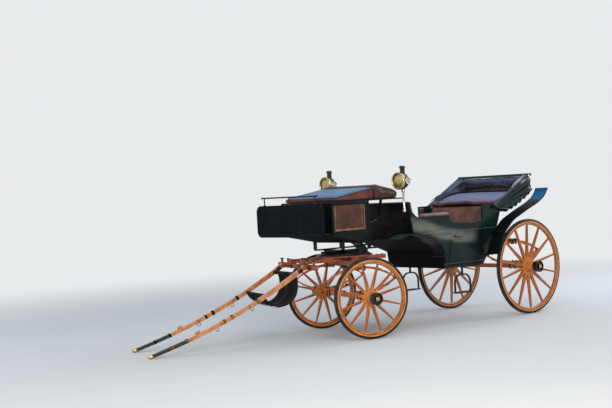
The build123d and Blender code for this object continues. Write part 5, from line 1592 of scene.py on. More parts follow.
@dataclass
class DriversBox(Assembly):
    """The driver's cushion, bolster and side panels, with their piping and frame beads."""

    half: float = 0.43
    piping: float = 0.0042
    piping_lift: float = 0.0015
    panel_y: float = 0.4145
    bead_y: float = 0.4235
    bead: float = 0.0035

    def build(self) -> None:
        """Make the wedge cushion, the bolster behind it and the panels in the box's sides."""
        x0, x1, z0, _, _ = span_of("driver_cushion")
        wedge = (
            (x0, z0), (x1 - 0.01, z0), (x1, z0 + 0.02), (x1 - 0.012, 1.486), (x0 + 0.02, 1.568), (x0, 1.555)
        )
        self._cushion("wedge", "cushion", wedge, CUSHION_LEATHER, (0.004, 0.004, 0.012), (1.57, 1.48))
        x0, x1, z0, _, _ = span_of("driver_bolster")
        bolster = ((x0 + 0.02, z0), (x1, z0), (x1, 1.585), (x1 - 0.03, 1.594), (x0 + 0.03, 1.528), (x0, 1.5))
        self._cushion("back", "bolster", bolster, BOX_LEATHER, (0.002, 0.004, 0.01), (1.53, 1.60))
        for side in Side:
            self._panel(side)

    def _cushion(
        self, word: str, kind: str, outline: Sequence[Flat], finish: Finish, more: Point, tops: Flat
    ) -> None:
        """Make a cushion with piping round both sides and along its two top edges.

        Args:
            word: the first word of its name.
            kind: the second word of its name and of its node's.
            outline: its cut in carriage (X, Z).
            finish: its finish.
            more: how far it may pass the upper corner of its node's box.
            tops: the Z of its back and front top edges.
        """
        node = f"driver_{kind}"
        slack = ((0.004, 0.004, 0), more)
        cushion = Padding(f"{word}_{kind}", outline, self.half - 0.006, finish, node, 0.012, slack).make()
        shape = Shape()
        for side in Side:
            loop = densely([at(x, side.value * self.half, z) for x, z in outline], 9)
            shape.tube(snapped(cushion, loop, self.piping_lift), self.piping, 8, closed=True)
        for x, z in zip(span_of(node)[:2], tops):
            edge = densely([at(x, -self.half, z + 0.01), at(x, self.half, z + 0.01)], 40, False)
            shape.tube(snapped(cushion, edge, self.piping_lift), self.piping, 8)
        self.add("wedge_piping" if kind == "cushion" else "bolster_piping", shape, PIPING)

    def _panel(self, side: Side) -> None:
        """Make the leather panel in one side of the box, with its tan frame lines."""
        x0, x1, z0, z1, _ = span_of("box_panels")

        def point(v: float, u: float) -> Vector:
            """Return a point at a share of the way up and of the way along."""
            rim = min(1.0, min(u, 1 - u, v, 1 - v) * 14)
            crease = 0.0016 * noise.noise(vec(u * 2.5, v * 16, side.value * 1.3))
            slack = math.exp(-(((v - 0.38) / 0.11) ** 2))
            crease += 0.0028 * slack * math.sin(v * 74 + 1.4 * noise.noise(vec(u * 3, 0.5, 2.0)))
            y = self.panel_y + 0.007 * math.sin(math.pi * 0.5 * rim) + crease * rim
            return at(x0 + (x1 - x0) * u, side.value * y, z0 + (z1 - z0) * v)

        shape = Shape().skin(grid(32, 40, point), False, False, False)
        piece = self.add(f"box_leather_{side.word}", shape, BOX_LEATHER)
        with_modifier(piece, "SOLIDIFY", thickness=0.002, offset=float(side.value))
        if side is Side.LEFT:
            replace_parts(piece, "box_panels")
        bead = Shape()
        for x in (x0 + 0.012, x0 + 0.05, x1 - 0.012):
            ends = [vec(x, side.value * self.bead_y, z) for z in (z0 + 0.008, z1 - 0.008)]
            bead.tube([ends[0].lerp(ends[1], share) for share in shares(12)], self.bead, 8)
        low, high = sorted((side.value * 0.419, side.value * 0.4245))
        bead.slab((x0 + 0.014, x1 - 0.014), (low, high), (z0 + 0.006, z0 + 0.026), 0.0015)
        self.add(f"box_beads_{side.word}", bead.moved(COACH_FRAME), TAN_BEAD)


@dataclass
class Lamps(Assembly):
    """The lamps' lenses, rims, side glasses, vents and nickelled candle tubes."""

    place: float = 1.925
    spread: float = 0.600
    centre: float = 1.620
    lens: tuple[Flat, ...] = (
        (0.0, 0.0662), (0.0796, 0.0662), (0.0790, 0.0675), (0.055, 0.0735), (0.0, 0.0765)
    )
    rim: tuple[Flat, ...] = (
        (0.0795, 0.066), (0.0795, 0.0795), (0.086, 0.0815), (0.0925, 0.0795), (0.0932, 0.056), (0.0918, 0.052)
    )
    side_rim: tuple[Flat, ...] = (
        (0.030, 0.070), (0.030, 0.086), (0.037, 0.087), (0.040, 0.083), (0.040, 0.066)
    )
    pane: tuple[Flat, ...] = ((0.0, 0.074), (0.031, 0.074), (0.031, 0.079), (0.018, 0.082), (0.0, 0.083))
    stem: tuple[Flat, ...] = (
        (0.0, -0.3385), (0.008, -0.337), (0.0158, -0.331), (0.0182, -0.320), (0.0158, -0.309),
        (0.0112, -0.304), (0.0108, -0.128), (0.0232, -0.112), (0.0232, -0.092), (0.0208, -0.090),
        (0.0, -0.090),
    )
    vents: tuple[float, ...] = (0.086, 0.100, 0.114, 0.128)

    def build(self) -> None:
        """Make the bright parts of both lamps."""
        for side in Side:
            middle = at(self.place, side.value * self.spread, self.centre)
            upright = Matrix.Translation(middle)
            forward = upright @ Matrix.Rotation(math.radians(90), 4, "Y")
            sides = [upright @ Matrix.Rotation(math.radians(-90 * sign), 4, "X") for sign in (-1, 1)]
            word = side.word
            glass = LampGlass(f"lamp_glass_{word}", rgb(176, 154, 84), rgb(84, 66, 30), centre=tuple(middle))
            self.add(f"lamp_lens_{word}", Shape().lathe(self.lens, forward, 40), glass)
            self.add(f"lamp_rim_{word}", Shape().hoop(self.rim, forward, 48), LAMP_RIM)
            rims, panes, vents = Shape(), Shape(), Shape()
            for out in sides:
                rims.hoop(self.side_rim, out, 32)
                panes.lathe(self.pane, out, 24)
            for level in self.vents:
                steps = ((0.0258, 0.0), (0.0285, 0.002), (0.0285, 0.005), (0.0258, 0.007))
                vents.hoop([(radius, level + height) for radius, height in steps], upright, 28)
            self.add(f"lamp_side_rims_{word}", rims, NICKEL)
            self.add(f"lamp_side_glass_{word}", panes, PANE)
            self.add(f"lamp_stem_{word}", Shape().lathe(self.stem, upright, 20), NICKEL)
            self.add(f"lamp_vents_{word}", vents, HUB_PAINT, slot="brass")


def wall_at(z: float) -> float:
    """Return the half width of the body's outer face at a height."""
    low, waist, high = (0.62, 0.450), (0.90, 0.498), (1.30, 0.522)
    total = 0.0
    for first, second, third in ((low, waist, high), (waist, low, high), (high, low, waist)):
        share = (z - second[0]) * (z - third[0]) / ((first[0] - second[0]) * (first[0] - third[0]))
        total += first[1] * share
    return total


@dataclass
class SpringFittings(Assembly):
    """The U-bolts, plates and eye bolts of one pair of full elliptic springs."""

    name: str = "rear"
    frame: Matrix = field(default_factory=lambda: COACH_FRAME)
    half_spread: float = 0.400
    axle: float = 0.550
    height: float = 0.276
    length: float = 0.900
    top: float = 0.865
    top_reach: float = 0.029
    seat_reach: float = 0.0285
    axle_half: float = 0.023
    clamp: float = 0.029
    rod: float = 0.0052
    rod_spread: float = 0.034
    leaf_clips: Flat = (-0.62, 0.62)

    def build(self) -> None:
        """Make the fittings of both springs."""
        seat = self.axle + self.axle_half
        crown = seat + self.height
        shape = Shape()
        for side in Side:
            y = side.value * self.half_spread
            self._clip(shape, y, seat + self.clamp, self.axle - self.axle_half, self.seat_reach)
            self._clip(shape, y, crown - self.clamp, self.top, self.top_reach)
            for x in (-self.length / 2, self.length / 2):
                for out in (-1, 1):
                    shape.bolt(vec(x, y + out * 0.0226, (seat + crown) / 2), vec(0, out, 0))
            for share in self.leaf_clips:
                self._band(shape, y, seat, crown, share)
        self.add(f"{self.name}_spring_bolts", shape.moved(self.frame), IRON)

    def _clip(self, shape: Shape, y: float, near: float, far: float, reach: float) -> None:
        """Add the two U-bolts that hold one side of a spring, with their plate and nuts.

        Args:
            shape: where they are added.
            y: the middle of the spring.
            near: the height of the clamp's inner face, where the nuts are.
            far: the height of what the bolts go round.
            reach: half the distance between a bolt's legs.
        """
        way = 1 if near > far else -1
        low, high = sorted((near, near + way * 0.005))
        shape.slab((-0.040, 0.040), (y - 0.042, y + 0.042), (low, high), 0.001)
        for offset in (-self.rod_spread, self.rod_spread):
            tip, bend = near + way * 0.016, far - way * self.rod
            legs = ((-reach, tip), (-reach, bend), (reach, bend), (reach, tip))
            shape.tube(densely([vec(x, y + offset, z) for x, z in legs], 4, False), self.rod, 8)
            for x in (-reach, reach):
                shape.bolt(vec(x, y + offset, near + way * 0.005), vec(0, 0, way))

    def _band(self, shape: Shape, y: float, seat: float, crown: float, share: float) -> None:
        """Add the thin clips round the ends of the short leaves, above and below."""
        middle, x = (seat + crown) / 2, share * self.length * 0.39
        rise = (crown - seat) / 2 * (1 - (2 * x / self.length) ** 2)
        for way in (-1, 1):
            z = middle + way * (rise - 0.012)
            shape.slab((x - 0.008, x + 0.008), (y - 0.0255, y + 0.0255), (z - 0.013, z + 0.013), 0.002)


@dataclass
class GearIrons(Assembly):
    """The bolts, straps and pin heads of the fore-carriage."""

    body: str = "fore_carriage"
    timber_y: float = 0.160
    timber_top: float = 0.8405
    bar_top: float = 0.7965
    bar_front: float = 0.571
    bar_size: float = 0.046
    bar_bolts: tuple[float, ...] = (0.09, 0.200, 0.375)
    bar_straps: tuple[float, ...] = (0.120, 0.340, 0.400)
    bed_bolts: tuple[float, ...] = (0.335, 0.30)
    timber_bolts: tuple[float, ...] = (-0.385, -0.325, 0.335, 0.420, 0.546)
    timber_plates: tuple[float, ...] = (-0.355, 0.378)
    plate_half: Flat = (0.055, 0.012)
    pins: tuple[float, ...] = (0.428, 0.252)
    pin_x: float = 0.546
    pin_height: float = 0.040
    pin_head: tuple[Flat, ...] = (
        (0.0, 0.0), (0.0175, 0.0), (0.021, 0.004), (0.0195, 0.009), (0.011, 0.0125), (0.0, 0.0135)
    )
    washer: tuple[Flat, ...] = ((0.0135, 0.0), (0.023, 0.0), (0.023, 0.0025), (0.0135, 0.0035))

    def build(self) -> None:
        """Make the iron parts on the futchells, the bed and the splinter bar."""
        up, ahead = vec(0, 0, 1), vec(1, 0, 0)
        top = self.timber_top
        shape = Shape()
        for side in Side:
            y = side.value * self.timber_y
            for x in self.timber_bolts:
                shape.bolt(vec(x, y, top), up)
            long, wide = self.plate_half
            for x in self.timber_plates:
                shape.slab((x - long, x + long), (y - wide, y + wide), (top - 0.001, top + 0.0025), 0.001)
            middle = self.bar_top - self.bar_size / 2
            for reach in self.bar_bolts:
                shape.bolt(vec(self.bar_front, side.value * reach, middle), ahead, 0.008)
            for reach in self.bar_straps:
                self._strap(shape, side.value * reach)
            for reach in self.pins:
                foot = vec(self.pin_x, side.value * reach, self.bar_top)
                shape.lathe(self.pin_head, Matrix.Translation(foot + up * self.pin_height), 18)
                shape.hoop(self.washer, Matrix.Translation(foot), 20)
            for reach in self.bed_bolts:
                shape.bolt(vec(0.0, side.value * reach, self.bar_top), up)
        self.add("gear_bolts", shape.moved(GEAR_FRAME), IRON)

    def _strap(self, shape: Shape, y: float) -> None:
        """Add an iron band round the splinter bar."""
        back, low = self.bar_front - 0.050, self.bar_top - self.bar_size
        corners = (
            (back, low, -1, -1), (self.bar_front, low, 1, -1), (self.bar_front, self.bar_top, 1, 1),
            (back, self.bar_top, -1, 1),
        )
        section = ((0.0, y - 0.009), (0.003, y - 0.009), (0.003, y + 0.009), (0.0, y + 0.009))
        rows = [
            [vec(x + dx * grow, across, z + dz * grow) for grow, across in section]
            for x, z, dx, dz in corners
        ]
        shape.skin(rows, True, True)


@dataclass
class BodyIrons(Assembly):
    """Small iron parts that stay with the body: turntable bolts, treads and stay bolts."""

    turntable: Point = (2.295, 0.0, 0.9095)
    turntable_bolts: tuple[float, ...] = (-0.265, -0.2, 0.2, 0.265)
    stay_bolts: Flat = (0.62, 0.68)
    stay_place: Flat = (0.398, 0.604)
    tread_x: float = 0.900
    tread_y: float = 0.420
    tread_top: float = 0.330
    tread_ribs: int = 9
    tread_pitch: float = 0.024
    mat_x: Flat = (2.792, 2.994)
    mat_ribs: int = 15
    mat_pitch: float = 0.0128

    def build(self) -> None:
        """Make the bolts, the ribbed treads and the footboard's ribbed mat."""
        up, centre = vec(0, 0, 1), Vector(self.turntable)
        bolts, treads = Shape(), Shape()
        for reach in self.turntable_bolts:
            for offset in (vec(reach, 0.0, 0.0), vec(0.0, reach, 0.0)):
                bolts.bolt(centre + offset, up)
        reach, low = self.stay_place
        for side in Side:
            for x in self.stay_bolts:
                bolts.bolt(vec(x, side.value * reach, low), -up, 0.008)
        self.add("body_bolts", bolts.moved(COACH_FRAME), IRON)
        top = self.tread_top
        for side in Side:
            y = side.value * self.tread_y
            for number in range(self.tread_ribs):
                x = self.tread_x + self.tread_pitch * (number - self.tread_ribs // 2)
                treads.slab((x - 0.004, x + 0.004), (y - 0.041, y + 0.041), (top, top + 0.003), 0.001)
            for middle in (y - 0.0435, y + 0.0435):
                run = (self.tread_x - 0.108, self.tread_x + 0.108)
                treads.slab(run, (middle - 0.002, middle + 0.002), (top, top + 0.004), 0.001)
        self.add("step_treads", treads.moved(COACH_FRAME), STEP_IRON)
        mat = Shape().slab(self.mat_x, (-0.405, 0.405), (1.108, 1.1115), 0.001)
        for number in range(self.mat_ribs):
            x = self.mat_x[0] + 0.011 + self.mat_pitch * number
            mat.slab((x - 0.003, x + 0.003), (-0.395, 0.395), (1.1105, 1.1145), 0.001)
        self.add("footboard_mat", mat.moved(COACH_FRAME), RUBBER)


@dataclass
class DashTrim(Assembly):
    """The stitching and nails of the leather on the dashboard, and the rail's knobs."""

    back: float = 3.000
    face: float = 3.014
    rail: float = 3.007
    half: float = 0.560
    low: float = 1.090
    high: float = 1.430
    corner: float = 0.070
    face_insets: Flat = (0.023, 0.028)
    back_insets: Flat = (0.012, 0.017)
    seams: tuple[float, ...] = (-0.187, -0.183, 0.183, 0.187)
    nail_pitch: float = 0.032
    knob_place: Flat = (0.459, 1.512)
    collars: tuple[float, ...] = (-0.423, 0.0, 0.423)
    knob: tuple[Flat, ...] = (
        (0.0, -0.002), (0.0085, -0.002), (0.0105, 0.002), (0.0105, 0.006), (0.006, 0.011), (0.0, 0.012)
    )
    collar: tuple[Flat, ...] = ((0.0, 0.0), (0.015, 0.0), (0.015, 0.003), (0.010, 0.008), (0.0, 0.008))

    def build(self) -> None:
        """Sew both faces of the dashboard."""
        thread, nails, knobs = Shape(), Shape(), Shape()
        for x, insets in ((self.face, self.face_insets), (self.back, self.back_insets)):
            for inset in insets:
                thread.stitches(self._border(x, inset))
            for y in self.seams:
                thread.stitches([vec(x, y, self.low + 0.03), vec(x, y, self.high - 0.03)])
        self.add("dash_stitches", thread.moved(COACH_FRAME), DARK_THREAD)
        for point, _ in spaced(self._border(self.face + 0.004, 0.008), self.nail_pitch):
            nails.stud(point, vec(1, 0, 0), 0.0032, 0.0016)
        self.add("dash_nails", nails.moved(COACH_FRAME), IRON)
        reach, height = self.knob_place
        for side in Side:
            knobs.lathe(self.knob, facing(vec(self.rail, side.value * reach, height), side.out), 18)
        for y in self.collars:
            knobs.lathe(self.collar, Matrix.Translation((self.rail, y, self.high)), 18)
        self.add("rail_collars", knobs.moved(COACH_FRAME), IRON)

    def _border(self, x: float, inset: float) -> list[Vector]:
        """Return the line a distance inside the dashboard's rounded edge."""
        reach, y = self.corner - inset, self.half - self.corner
        high, low = self.high - self.corner, self.low + self.corner
        line = []
        for number, (across, up) in enumerate(((y, high), (-y, high), (-y, low), (y, low))):
            for share in shares(8):
                turn = math.radians(90.0 * number + 90 * share)
                line.append(vec(x, across + reach * math.cos(turn), up + reach * math.sin(turn)))
        return [*line, line[0]]


@dataclass
class InsideTrim(Assembly):
    """The leather inside the doors and front quarters, and the mat in the well."""

    wall: float = 0.022
    door: tuple[Flat, Flat] = ((0.955, 1.135), (0.70, 1.085))
    quarter: tuple[Flat, Flat] = ((1.185, 1.60), (1.128, 1.203))
    rear_quarter: tuple[Flat, Flat] = ((0.545, 0.612), (1.095, 1.285))
    flute: float = 0.05
    strap: tuple[Flat, ...] = ((0.985, 1.045), (1.01, 1.028), (1.045, 1.022), (1.08, 1.028), (1.105, 1.045))
    mat: Point = (0.945, -0.40, 0.6475)
    mat_size: Flat = (0.2145, 0.80)

    def build(self) -> None:
        """Line the inside of the body."""
        for side in Side:
            word = side.word
            door = f"door_{word}"
            card = self._card(side, *self.door, 0.007)
            self.add_padded(f"door_card_{word}", card, SEAT_LEATHER, 0.4, door)
            y = wall_at(1.03) - self.wall - 0.013
            bend = [at(x, side.value * (y - 0.004 * (1 - abs(x - 1.045) / 0.06)), z) for x, z in self.strap]
            strap = Shape().tube(smooth_line(bend, 5), 0.010, 10, flat=0.3)
            self.add(f"door_strap_{word}", strap, BLACK_LEATHER, door)
            for name, spans in (("quarter", self.quarter), ("rear_quarter", self.rear_quarter)):
                pad = self._card(side, *spans, 0.008)
                self.add_padded(f"{name}_pad_{word}", pad, SQUAB_LEATHER, 0.5)

        def point(across: float, along: float) -> Vector:
            """Return a point of the mat at a share of its width and length."""
            x, y, z = self.mat
            length, width = self.mat_size
            y += width * across
            return at(x + length * along, y, z + 0.001 * noise.noise(vec(y * 8, along * 7.7, 6.1)))

        self.add_sheet("floor_mat", grid(28, 11, point), (0, 0, -0.0045), MAT_CLOTH, "laid", "body_floor")

    def _card(self, side: Side, long: Flat, tall: Flat, proud: float) -> Shape:
        """Make a padded leather panel on the inner face of the body's side.

        Args:
            side: the side of the carriage.
            long: its rear and front edge.
            tall: its lower and upper edge.
            proud: how thick its padding is.

        Returns:
            The panel.
        """
        (x0, x1), (z0, z1) = long, tall
        rows = []
        for v in shares(18):
            z = z0 + (z1 - z0) * v
            inner = wall_at(z) - self.wall
            row, back = [], []
            for u in shares(26):
                x = x0 + (x1 - x0) * u
                rim = min(1.0, min(u, 1 - u, v, 1 - v) * 7)
                wave = abs(math.sin(math.pi * u * (x1 - x0) / self.flute))
                flute = 1 - 0.45 * (1 - min(1.0, wave / 0.5)) ** 1.5
                row.append(at(x, side.value * (inner - 0.002 - proud * rim**0.5 * flute), z))
                back.append(at(x, side.value * (inner - 0.0006), z))
            rows.append(row + back[::-1])
        return Shape().skin(rows)


@dataclass
class HoodTrim(Assembly):
    """The nails along the hood's bows, the iron caps on its pivots and joints and the plated caps at its
    corners.
    """

    bar_x: float = -0.1845
    bar_low: float = 1.602
    half: float = 0.563
    bar_nails: int = 29
    nail_pitch: float = 0.039
    pivot: Flat = (0.425, 1.262)
    joint: Flat = (0.12, 1.445)
    corner: Flat = (-0.165, 1.603)
    cap: tuple[Flat, ...] = (
        (0.0, 0.0), (0.020, 0.0), (0.022, 0.002), (0.020, 0.005), (0.012, 0.0065), (0.009, 0.010),
        (0.0, 0.011),
    )
    knuckle: tuple[Flat, ...] = ((0.0, 0.0), (0.015, 0.0), (0.016, 0.002), (0.012, 0.006), (0.0, 0.007))

    def build(self) -> None:
        """Make the nails and the caps."""
        nails, caps, corners = Shape(), Shape(), Shape()
        for number in range(self.bar_nails):
            y = self.nail_pitch * (number - self.bar_nails // 2)
            for way in (1, -1):
                place = vec(self.bar_x + way * 0.030, y, self.bar_low + 0.006)
                nails.stud(place, vec(way, 0, 0), 0.0034, 0.0018)
        start, end = vec(self.pivot[0], 0, self.pivot[1]), vec(-0.185, 0, 1.600)
        for side in Side:
            for share in shares(16):
                point = start.lerp(end, 0.06 + 0.92 * share) + vec(0.0024, side.value * self.half, 0.0044)
                nails.stud(point, side.out, 0.0034, 0.0018)
        self.add("hood_nails", nails.moved(COACH_FRAME), IRON)
        for side in Side:
            y = side.value * self.half
            for shape, profile, (x, z), sides in (
                (caps, self.cap, self.pivot, 26),
                (corners, self.knuckle, self.corner, 20),
                (caps, self.knuckle, self.joint, 20),
            ):
                shape.lathe(profile, facing(vec(x, y, z), side.out), sides)
        self.add("hood_joint_caps", caps.moved(COACH_FRAME), IRON)
        self.add("hood_corner_caps", corners.moved(COACH_FRAME), NICKEL)


@dataclass
class Shafts(Assembly):
    """The shafts' varnish, their leather, buckles and ferrules, and the sling between them."""

    body: str = "shafts"
    half: float = 0.300
    length: float = 1.866
    sag: float = 0.070
    bar: tuple[Flat, float] = ((0.120, -0.0169), 0.0205)
    rod: tuple[Flat, float] = ((0.500, -0.0549), 0.0115)
    sling_half: float = 0.253
    sling_thick: float = 0.0035
    strap_y: float = 0.14
    keepers: tuple[Flat, ...] = (
        (0.62, 0.014), (0.93, 0.016), (1.02, 0.012), (1.45, 0.012), (1.62, 0.011)
    )
    ferrule: float = 1.826
    iron: Flat = (0.030, 0.085)
    dees: Flat = (0.70, 1.12)
    sewn: Flat = (1.46, 0.36)
    bag: tuple[Flat, ...] = (
        (0.110, -0.100), (0.138, -0.170), (0.180, -0.226), (0.240, -0.264), (0.310, -0.2755), (0.380, -0.264),
        (0.440, -0.226), (0.482, -0.170), (0.507, -0.110),
    )

    def build(self) -> None:
        """Dress the shafts, sew their leather and hang the sling."""
        heading = SHAFT_FRAME.to_3x3() @ vec(1, 0, 0)
        root = SHAFT_FRAME.to_translation()
        ends = {"root": tuple(root), "heading": tuple(heading)}
        dress(ShaftCoat("shaft_varnish", rgb(206, 134, 74), rgb(140, 76, 40), **ends), "shafts")
        straps, plates, irons, thread = Shape(), Shape(), Shape(), Shape()
        for side in Side:
            y = side.value * self.half
            for place, reach in self.keepers:
                self._sleeve(straps, place - reach, place + reach, y, 0.0032)
                self._buckle(plates, place, y + side.value * 0.0235, side.value)
            self._sleeve(plates, self.ferrule, self.length + 0.002, y, 0.0012)
            self._sleeve(irons, *self.iron, y, 0.0014)
            for place in self.dees:
                self._dee(irons, place, y)
            start, length = self.sewn
            line = [self._under(start + length * share, y, 0.001) for share in shares(40)]
            thread.stitches(line)
            thread.stitches([vec(p.x, y + side.value * 0.0195, p.z + self._depth(p.x)) for p in line])
        self.add("shaft_keepers", straps.moved(SHAFT_FRAME), BLACK_LEATHER)
        plates.moved(SHAFT_FRAME)
        for vert in plates.mesh.verts:
            vert.co.z = max(vert.co.z, 0.0004)
        self.add("shaft_brasses", plates, BRASS)
        self.add("shaft_irons", irons.moved(SHAFT_FRAME), IRON)
        self.add("shaft_stitches", thread.moved(SHAFT_FRAME), THREAD)
        self._sling()

    def _middle(self, place: float) -> float:
        """Return the height of the shaft's middle line at a distance from its hinge."""
        share = place / self.length
        return -4 * self.sag * share * (1 - share)

    def _depth(self, place: float) -> float:
        """Return half the shaft's depth at a distance from its hinge."""
        return 0.024 - 0.009 * place / self.length

    def _under(self, place: float, y: float, gap: float) -> Vector:
        """Return a point just below the shaft."""
        return vec(place, y, self._middle(place) - self._depth(place) - gap)

    def _sleeve(self, shape: Shape, start: float, end: float, y: float, thick: float) -> None:
        """Add a close band round a shaft between two places."""
        rows = []
        for share in shares(4):
            place = start + (end - start) * share
            grow = thick if 0 < share < 1 else thick * 0.35
            half, deep, middle = 0.019 + grow, self._depth(place) + grow, self._middle(place)
            corner = min(half, deep) * 0.3
            wide, tall = (half, deep - corner), (half - corner, deep)
            signs = ((1, 1, wide), (1, 1, tall), (-1, 1, tall), (-1, 1, wide))
            signs += tuple((-sign_y, -sign_z, pair) for sign_y, sign_z, pair in signs)
            rows.append([vec(place, y + sy * across, middle + sz * up) for sy, sz, (across, up) in signs])
        shape.skin(rows)

    def _buckle(self, shape: Shape, place: float, y: float, out: float) -> None:
        """Add a square buckle with its tongue on the outer face of a strap."""
        middle = self._middle(place)
        corners = ((-0.014, -0.013), (0.014, -0.013), (0.014, 0.013), (-0.014, 0.013))
        loop = densely([vec(place + x, y, middle + z) for x, z in corners], 3)
        shape.tube(loop, 0.0021, 8, closed=True)
        shape.tube([vec(place, y + out * 0.001, middle + z) for z in (-0.013, 0.015)], 0.0015, 6)

    def _dee(self, shape: Shape, place: float, y: float) -> None:
        """Add a staple and its ring under a shaft."""
        top = self._under(place, y, 0.0)
        loop = [top + vec(0.017 * math.cos(turn), 0, -0.017 + 0.017 * math.sin(turn)) for turn in ring(24)]
        shape.tube(loop, 0.0028, 8, closed=True)
        staple = ((0.009, 0.0), (0.009, 0.003), (0.005, 0.005), (0.0, 0.005))
        shape.lathe(staple, facing(top, vec(0, 0, -1)), 14)

    def _sling_line(self) -> list[Vector]:
        """Return the sling's section, from its wrap on one bar to its wrap on the other."""
        wraps = []
        ends = ((self.bar, (-50, 0, 45, 90, 135, 180)), (self.rod, (0, 45, 90, 135, 180, 230)))
        for ((x, z), reach), degrees in ends:
            turns = [math.radians(angle) for angle in degrees]
            wraps.append([(x + reach * math.cos(turn), z + reach * math.sin(turn)) for turn in turns])
        return level_line((*wraps[0], *self.bag, *wraps[1]), 4)

    def _sling(self) -> None:
        """Hang the leather sling with its hems, straps and stitching."""
        line = self._sling_line()

        def point(across: float, u: float) -> Vector:
            """Return a point at a share of the width and of the section's points."""
            foot = line[round(u * (len(line) - 1))]
            v = 2 * across - 1
            slack = math.sin(math.pi * u) ** 2
            y = v * self.sling_half * (1 - 0.035 * slack)
            ripple = 0.005 * noise.noise(vec(y * 7, u * 5, 3.7)) + 0.003 * math.sin(y * 31 + 4 * u)
            lip = 0.012 * abs(v) ** 6
            return vec(foot.x + ripple * slack * 0.6, y, foot.z + (lip + ripple) * slack)

        rows = grid(46, len(line) - 1, point)
        backs = []
        for row in rows:
            back = []
            for place, before, after in zip(row, [row[0], *row], [*row[1:], row[-1]]):
                along = (after - before).normalized()
                back.append(SHAFT_FRAME @ (place + vec(-along.z, 0, along.x) * self.sling_thick))
            backs.append(back)
        faces = [[SHAFT_FRAME @ place for place in row] for row in rows]
        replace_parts(self.add_sheet("sling_leather", faces, backs, BLACK_LEATHER, "hung", "shafts"), "sling")
        hems, thread = Shape(), Shape()
        for edge in (0, -1):
            hems.tube(rows[edge], 0.0052, 8)
        for place in (1, -2):
            thread.stitches(rows[place], 0.009, 0.0042)
        for side in Side:
            y = side.value * self.strap_y
            hems.ribbon([(foot.x, foot.z) for foot in line[22:-22]], y - 0.017, y + 0.017, -0.008, 0.0035)
        self.add("sling_hems", hems.moved(SHAFT_FRAME), BLACK_LEATHER)
        self.add("sling_stitches", thread.moved(SHAFT_FRAME), THREAD)


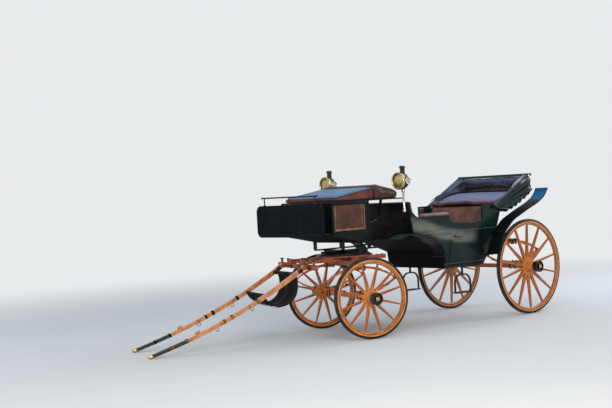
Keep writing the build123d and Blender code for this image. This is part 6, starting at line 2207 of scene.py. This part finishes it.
@dataclass
class Studio:
    """The floor, the pale backdrop, the lamps and the camera."""

    eye: Point = (8.490, 9.573, 1.585)
    right: Point = (-0.7740, 0.6308, -0.0544)
    down: Point = (0.0502, -0.0246, -0.9985)
    forward: Point = (-0.6312, -0.7755, -0.0126)
    focal_pixels: float = 1160.0
    sensor_width: float = 36.0
    floor_half: float = 60.0
    backdrop: Colour = rgb(232, 234, 236)
    sky: Colour = rgb(214, 224, 236)
    sky_strength: float = 0.62
    fade: Flat = (3.2, 11.0)
    aim: Point = (0.0, 0.0, 0.9)
    lamps: tuple[tuple[str, Point, float, float, Colour], ...] = (
        ("key_light", (5.5, 8.5, 5.0), 5.0, 720.0, rgb(255, 247, 236)),
        ("fill_light", (9.0, -3.0, 4.0), 6.0, 300.0, rgb(234, 241, 255)),
        ("back_light", (-7.0, 1.0, 5.0), 5.0, 330.0, rgb(240, 246, 255)),
    )

    def build(self) -> None:
        """Set up everything that isn't part of the carriage."""
        self._floor()
        self._world()
        for lamp in self.lamps:
            self._lamp(*lamp)
        self._camera()
        bpy.context.scene.view_settings.view_transform = "Standard"

    def _floor(self) -> None:
        """Lay a pale floor that keeps the carriage's shadow and fades into the backdrop."""
        half = self.floor_half
        rows = [[vec(x, y, 0.0) for x in (-half, half)] for y in (-half, half)]
        floor = Shape().skin(rows, False, False, False).piece("floor")
        graph = Graph(bpy.data.materials.new("pale_floor"))
        across, along, _ = graph.split(graph.place)
        fade = ((across * across + along * along) ** 0.5).rise(*self.fade) * graph.seen
        black = rgb(0, 0, 0)
        tone = graph.blend(graph.cloud(3.0, 3.0), rgb(208, 209, 209), rgb(215, 216, 215))
        glow = {"emission_color": graph.blend(fade, black, self.backdrop), "emission_strength": 1.0}
        material = graph.shell(graph.blend(fade, tone, black), 0.85, specular_ior_level=0.0, **glow)
        floor.data.materials.append(material)

    def _world(self) -> None:
        """Give the sky a pale colour to the camera and in reflections, and a soft one as light."""
        bpy.context.scene.world = bpy.data.worlds.new("studio")
        graph = Graph(bpy.context.scene.world)
        light = graph.out("Background", None, {"Color": self.sky, "Strength": self.sky_strength})
        pale = graph.out("Background", None, {"Color": self.backdrop})
        mixed = graph.out("MixShader", None, {0: graph.seen, 1: light, 2: pale})
        graph.node("OutputWorld", None, {"Surface": mixed})

    def _lamp(self, name: str, place: Point, size: float, power: float, colour: Colour) -> None:
        """Hang a large soft lamp that points at the carriage.

        Args:
            name: the lamp's name.
            place: where it hangs.
            size: the side of its square.
            power: its power in watts.
            colour: the colour of its light.
        """
        data = bpy.data.lights.new(name, "AREA")
        data.size, data.energy, data.color = size, power, colour
        lamp = bpy.data.objects.new(name, data)
        lamp.location = place
        lamp.rotation_euler = (Vector(self.aim) - Vector(place)).to_track_quat("-Z", "Y").to_euler()
        bpy.context.collection.objects.link(lamp)

    def _camera(self) -> None:
        """Set the camera where the photograph was taken from."""
        data = bpy.data.cameras.new("camera")
        data.sensor_width = self.sensor_width
        data.lens = self.focal_pixels * data.sensor_width / IMAGE_WIDTH
        camera = bpy.data.objects.new("camera", data)
        columns = (Vector(self.right), -Vector(self.down), -Vector(self.forward), Vector(self.eye))
        camera.matrix_world = Matrix([[*(c[row] for c in columns)] for row in range(3)] + [[0, 0, 0, 1]])
        bpy.context.collection.objects.link(camera)
        bpy.context.scene.camera = camera


def assemblies() -> list[Assembly]:
    """List the carriage's assemblies in the order in which they are built."""
    wheels = [
        Wheel(f"wheel_{end}_{side.word}", end, side, radius, spokes, cap_reach=reach)
        for end, radius, spokes, reach in (("rear", 0.55, 14, 0.165), ("front", 0.4235, 12, 0.14))
        for side in Side
    ]
    front_springs = SpringFittings(
        "fore_carriage", "front", GEAR_FRAME, half_spread=0.390, axle=0.4235, height=0.298, length=0.820,
        top=0.7965, top_reach=0.0405,
    )
    coach = [Coachwork(), Seats(), FoldedHood(), DriversBox(), Lamps(), SpringFittings(), front_springs]
    return [*wheels, *coach, GearIrons(), BodyIrons(), DashTrim(), InsideTrim(), HoodTrim(), Shafts()]


def main() -> None:
    """Build the studio and each assembly."""
    logging.basicConfig(level=logging.INFO, format="%(name)s: %(message)s")
    Studio().build()
    for assembly in assemblies():
        assembly.build()


if __name__ == "__main__":
    main()
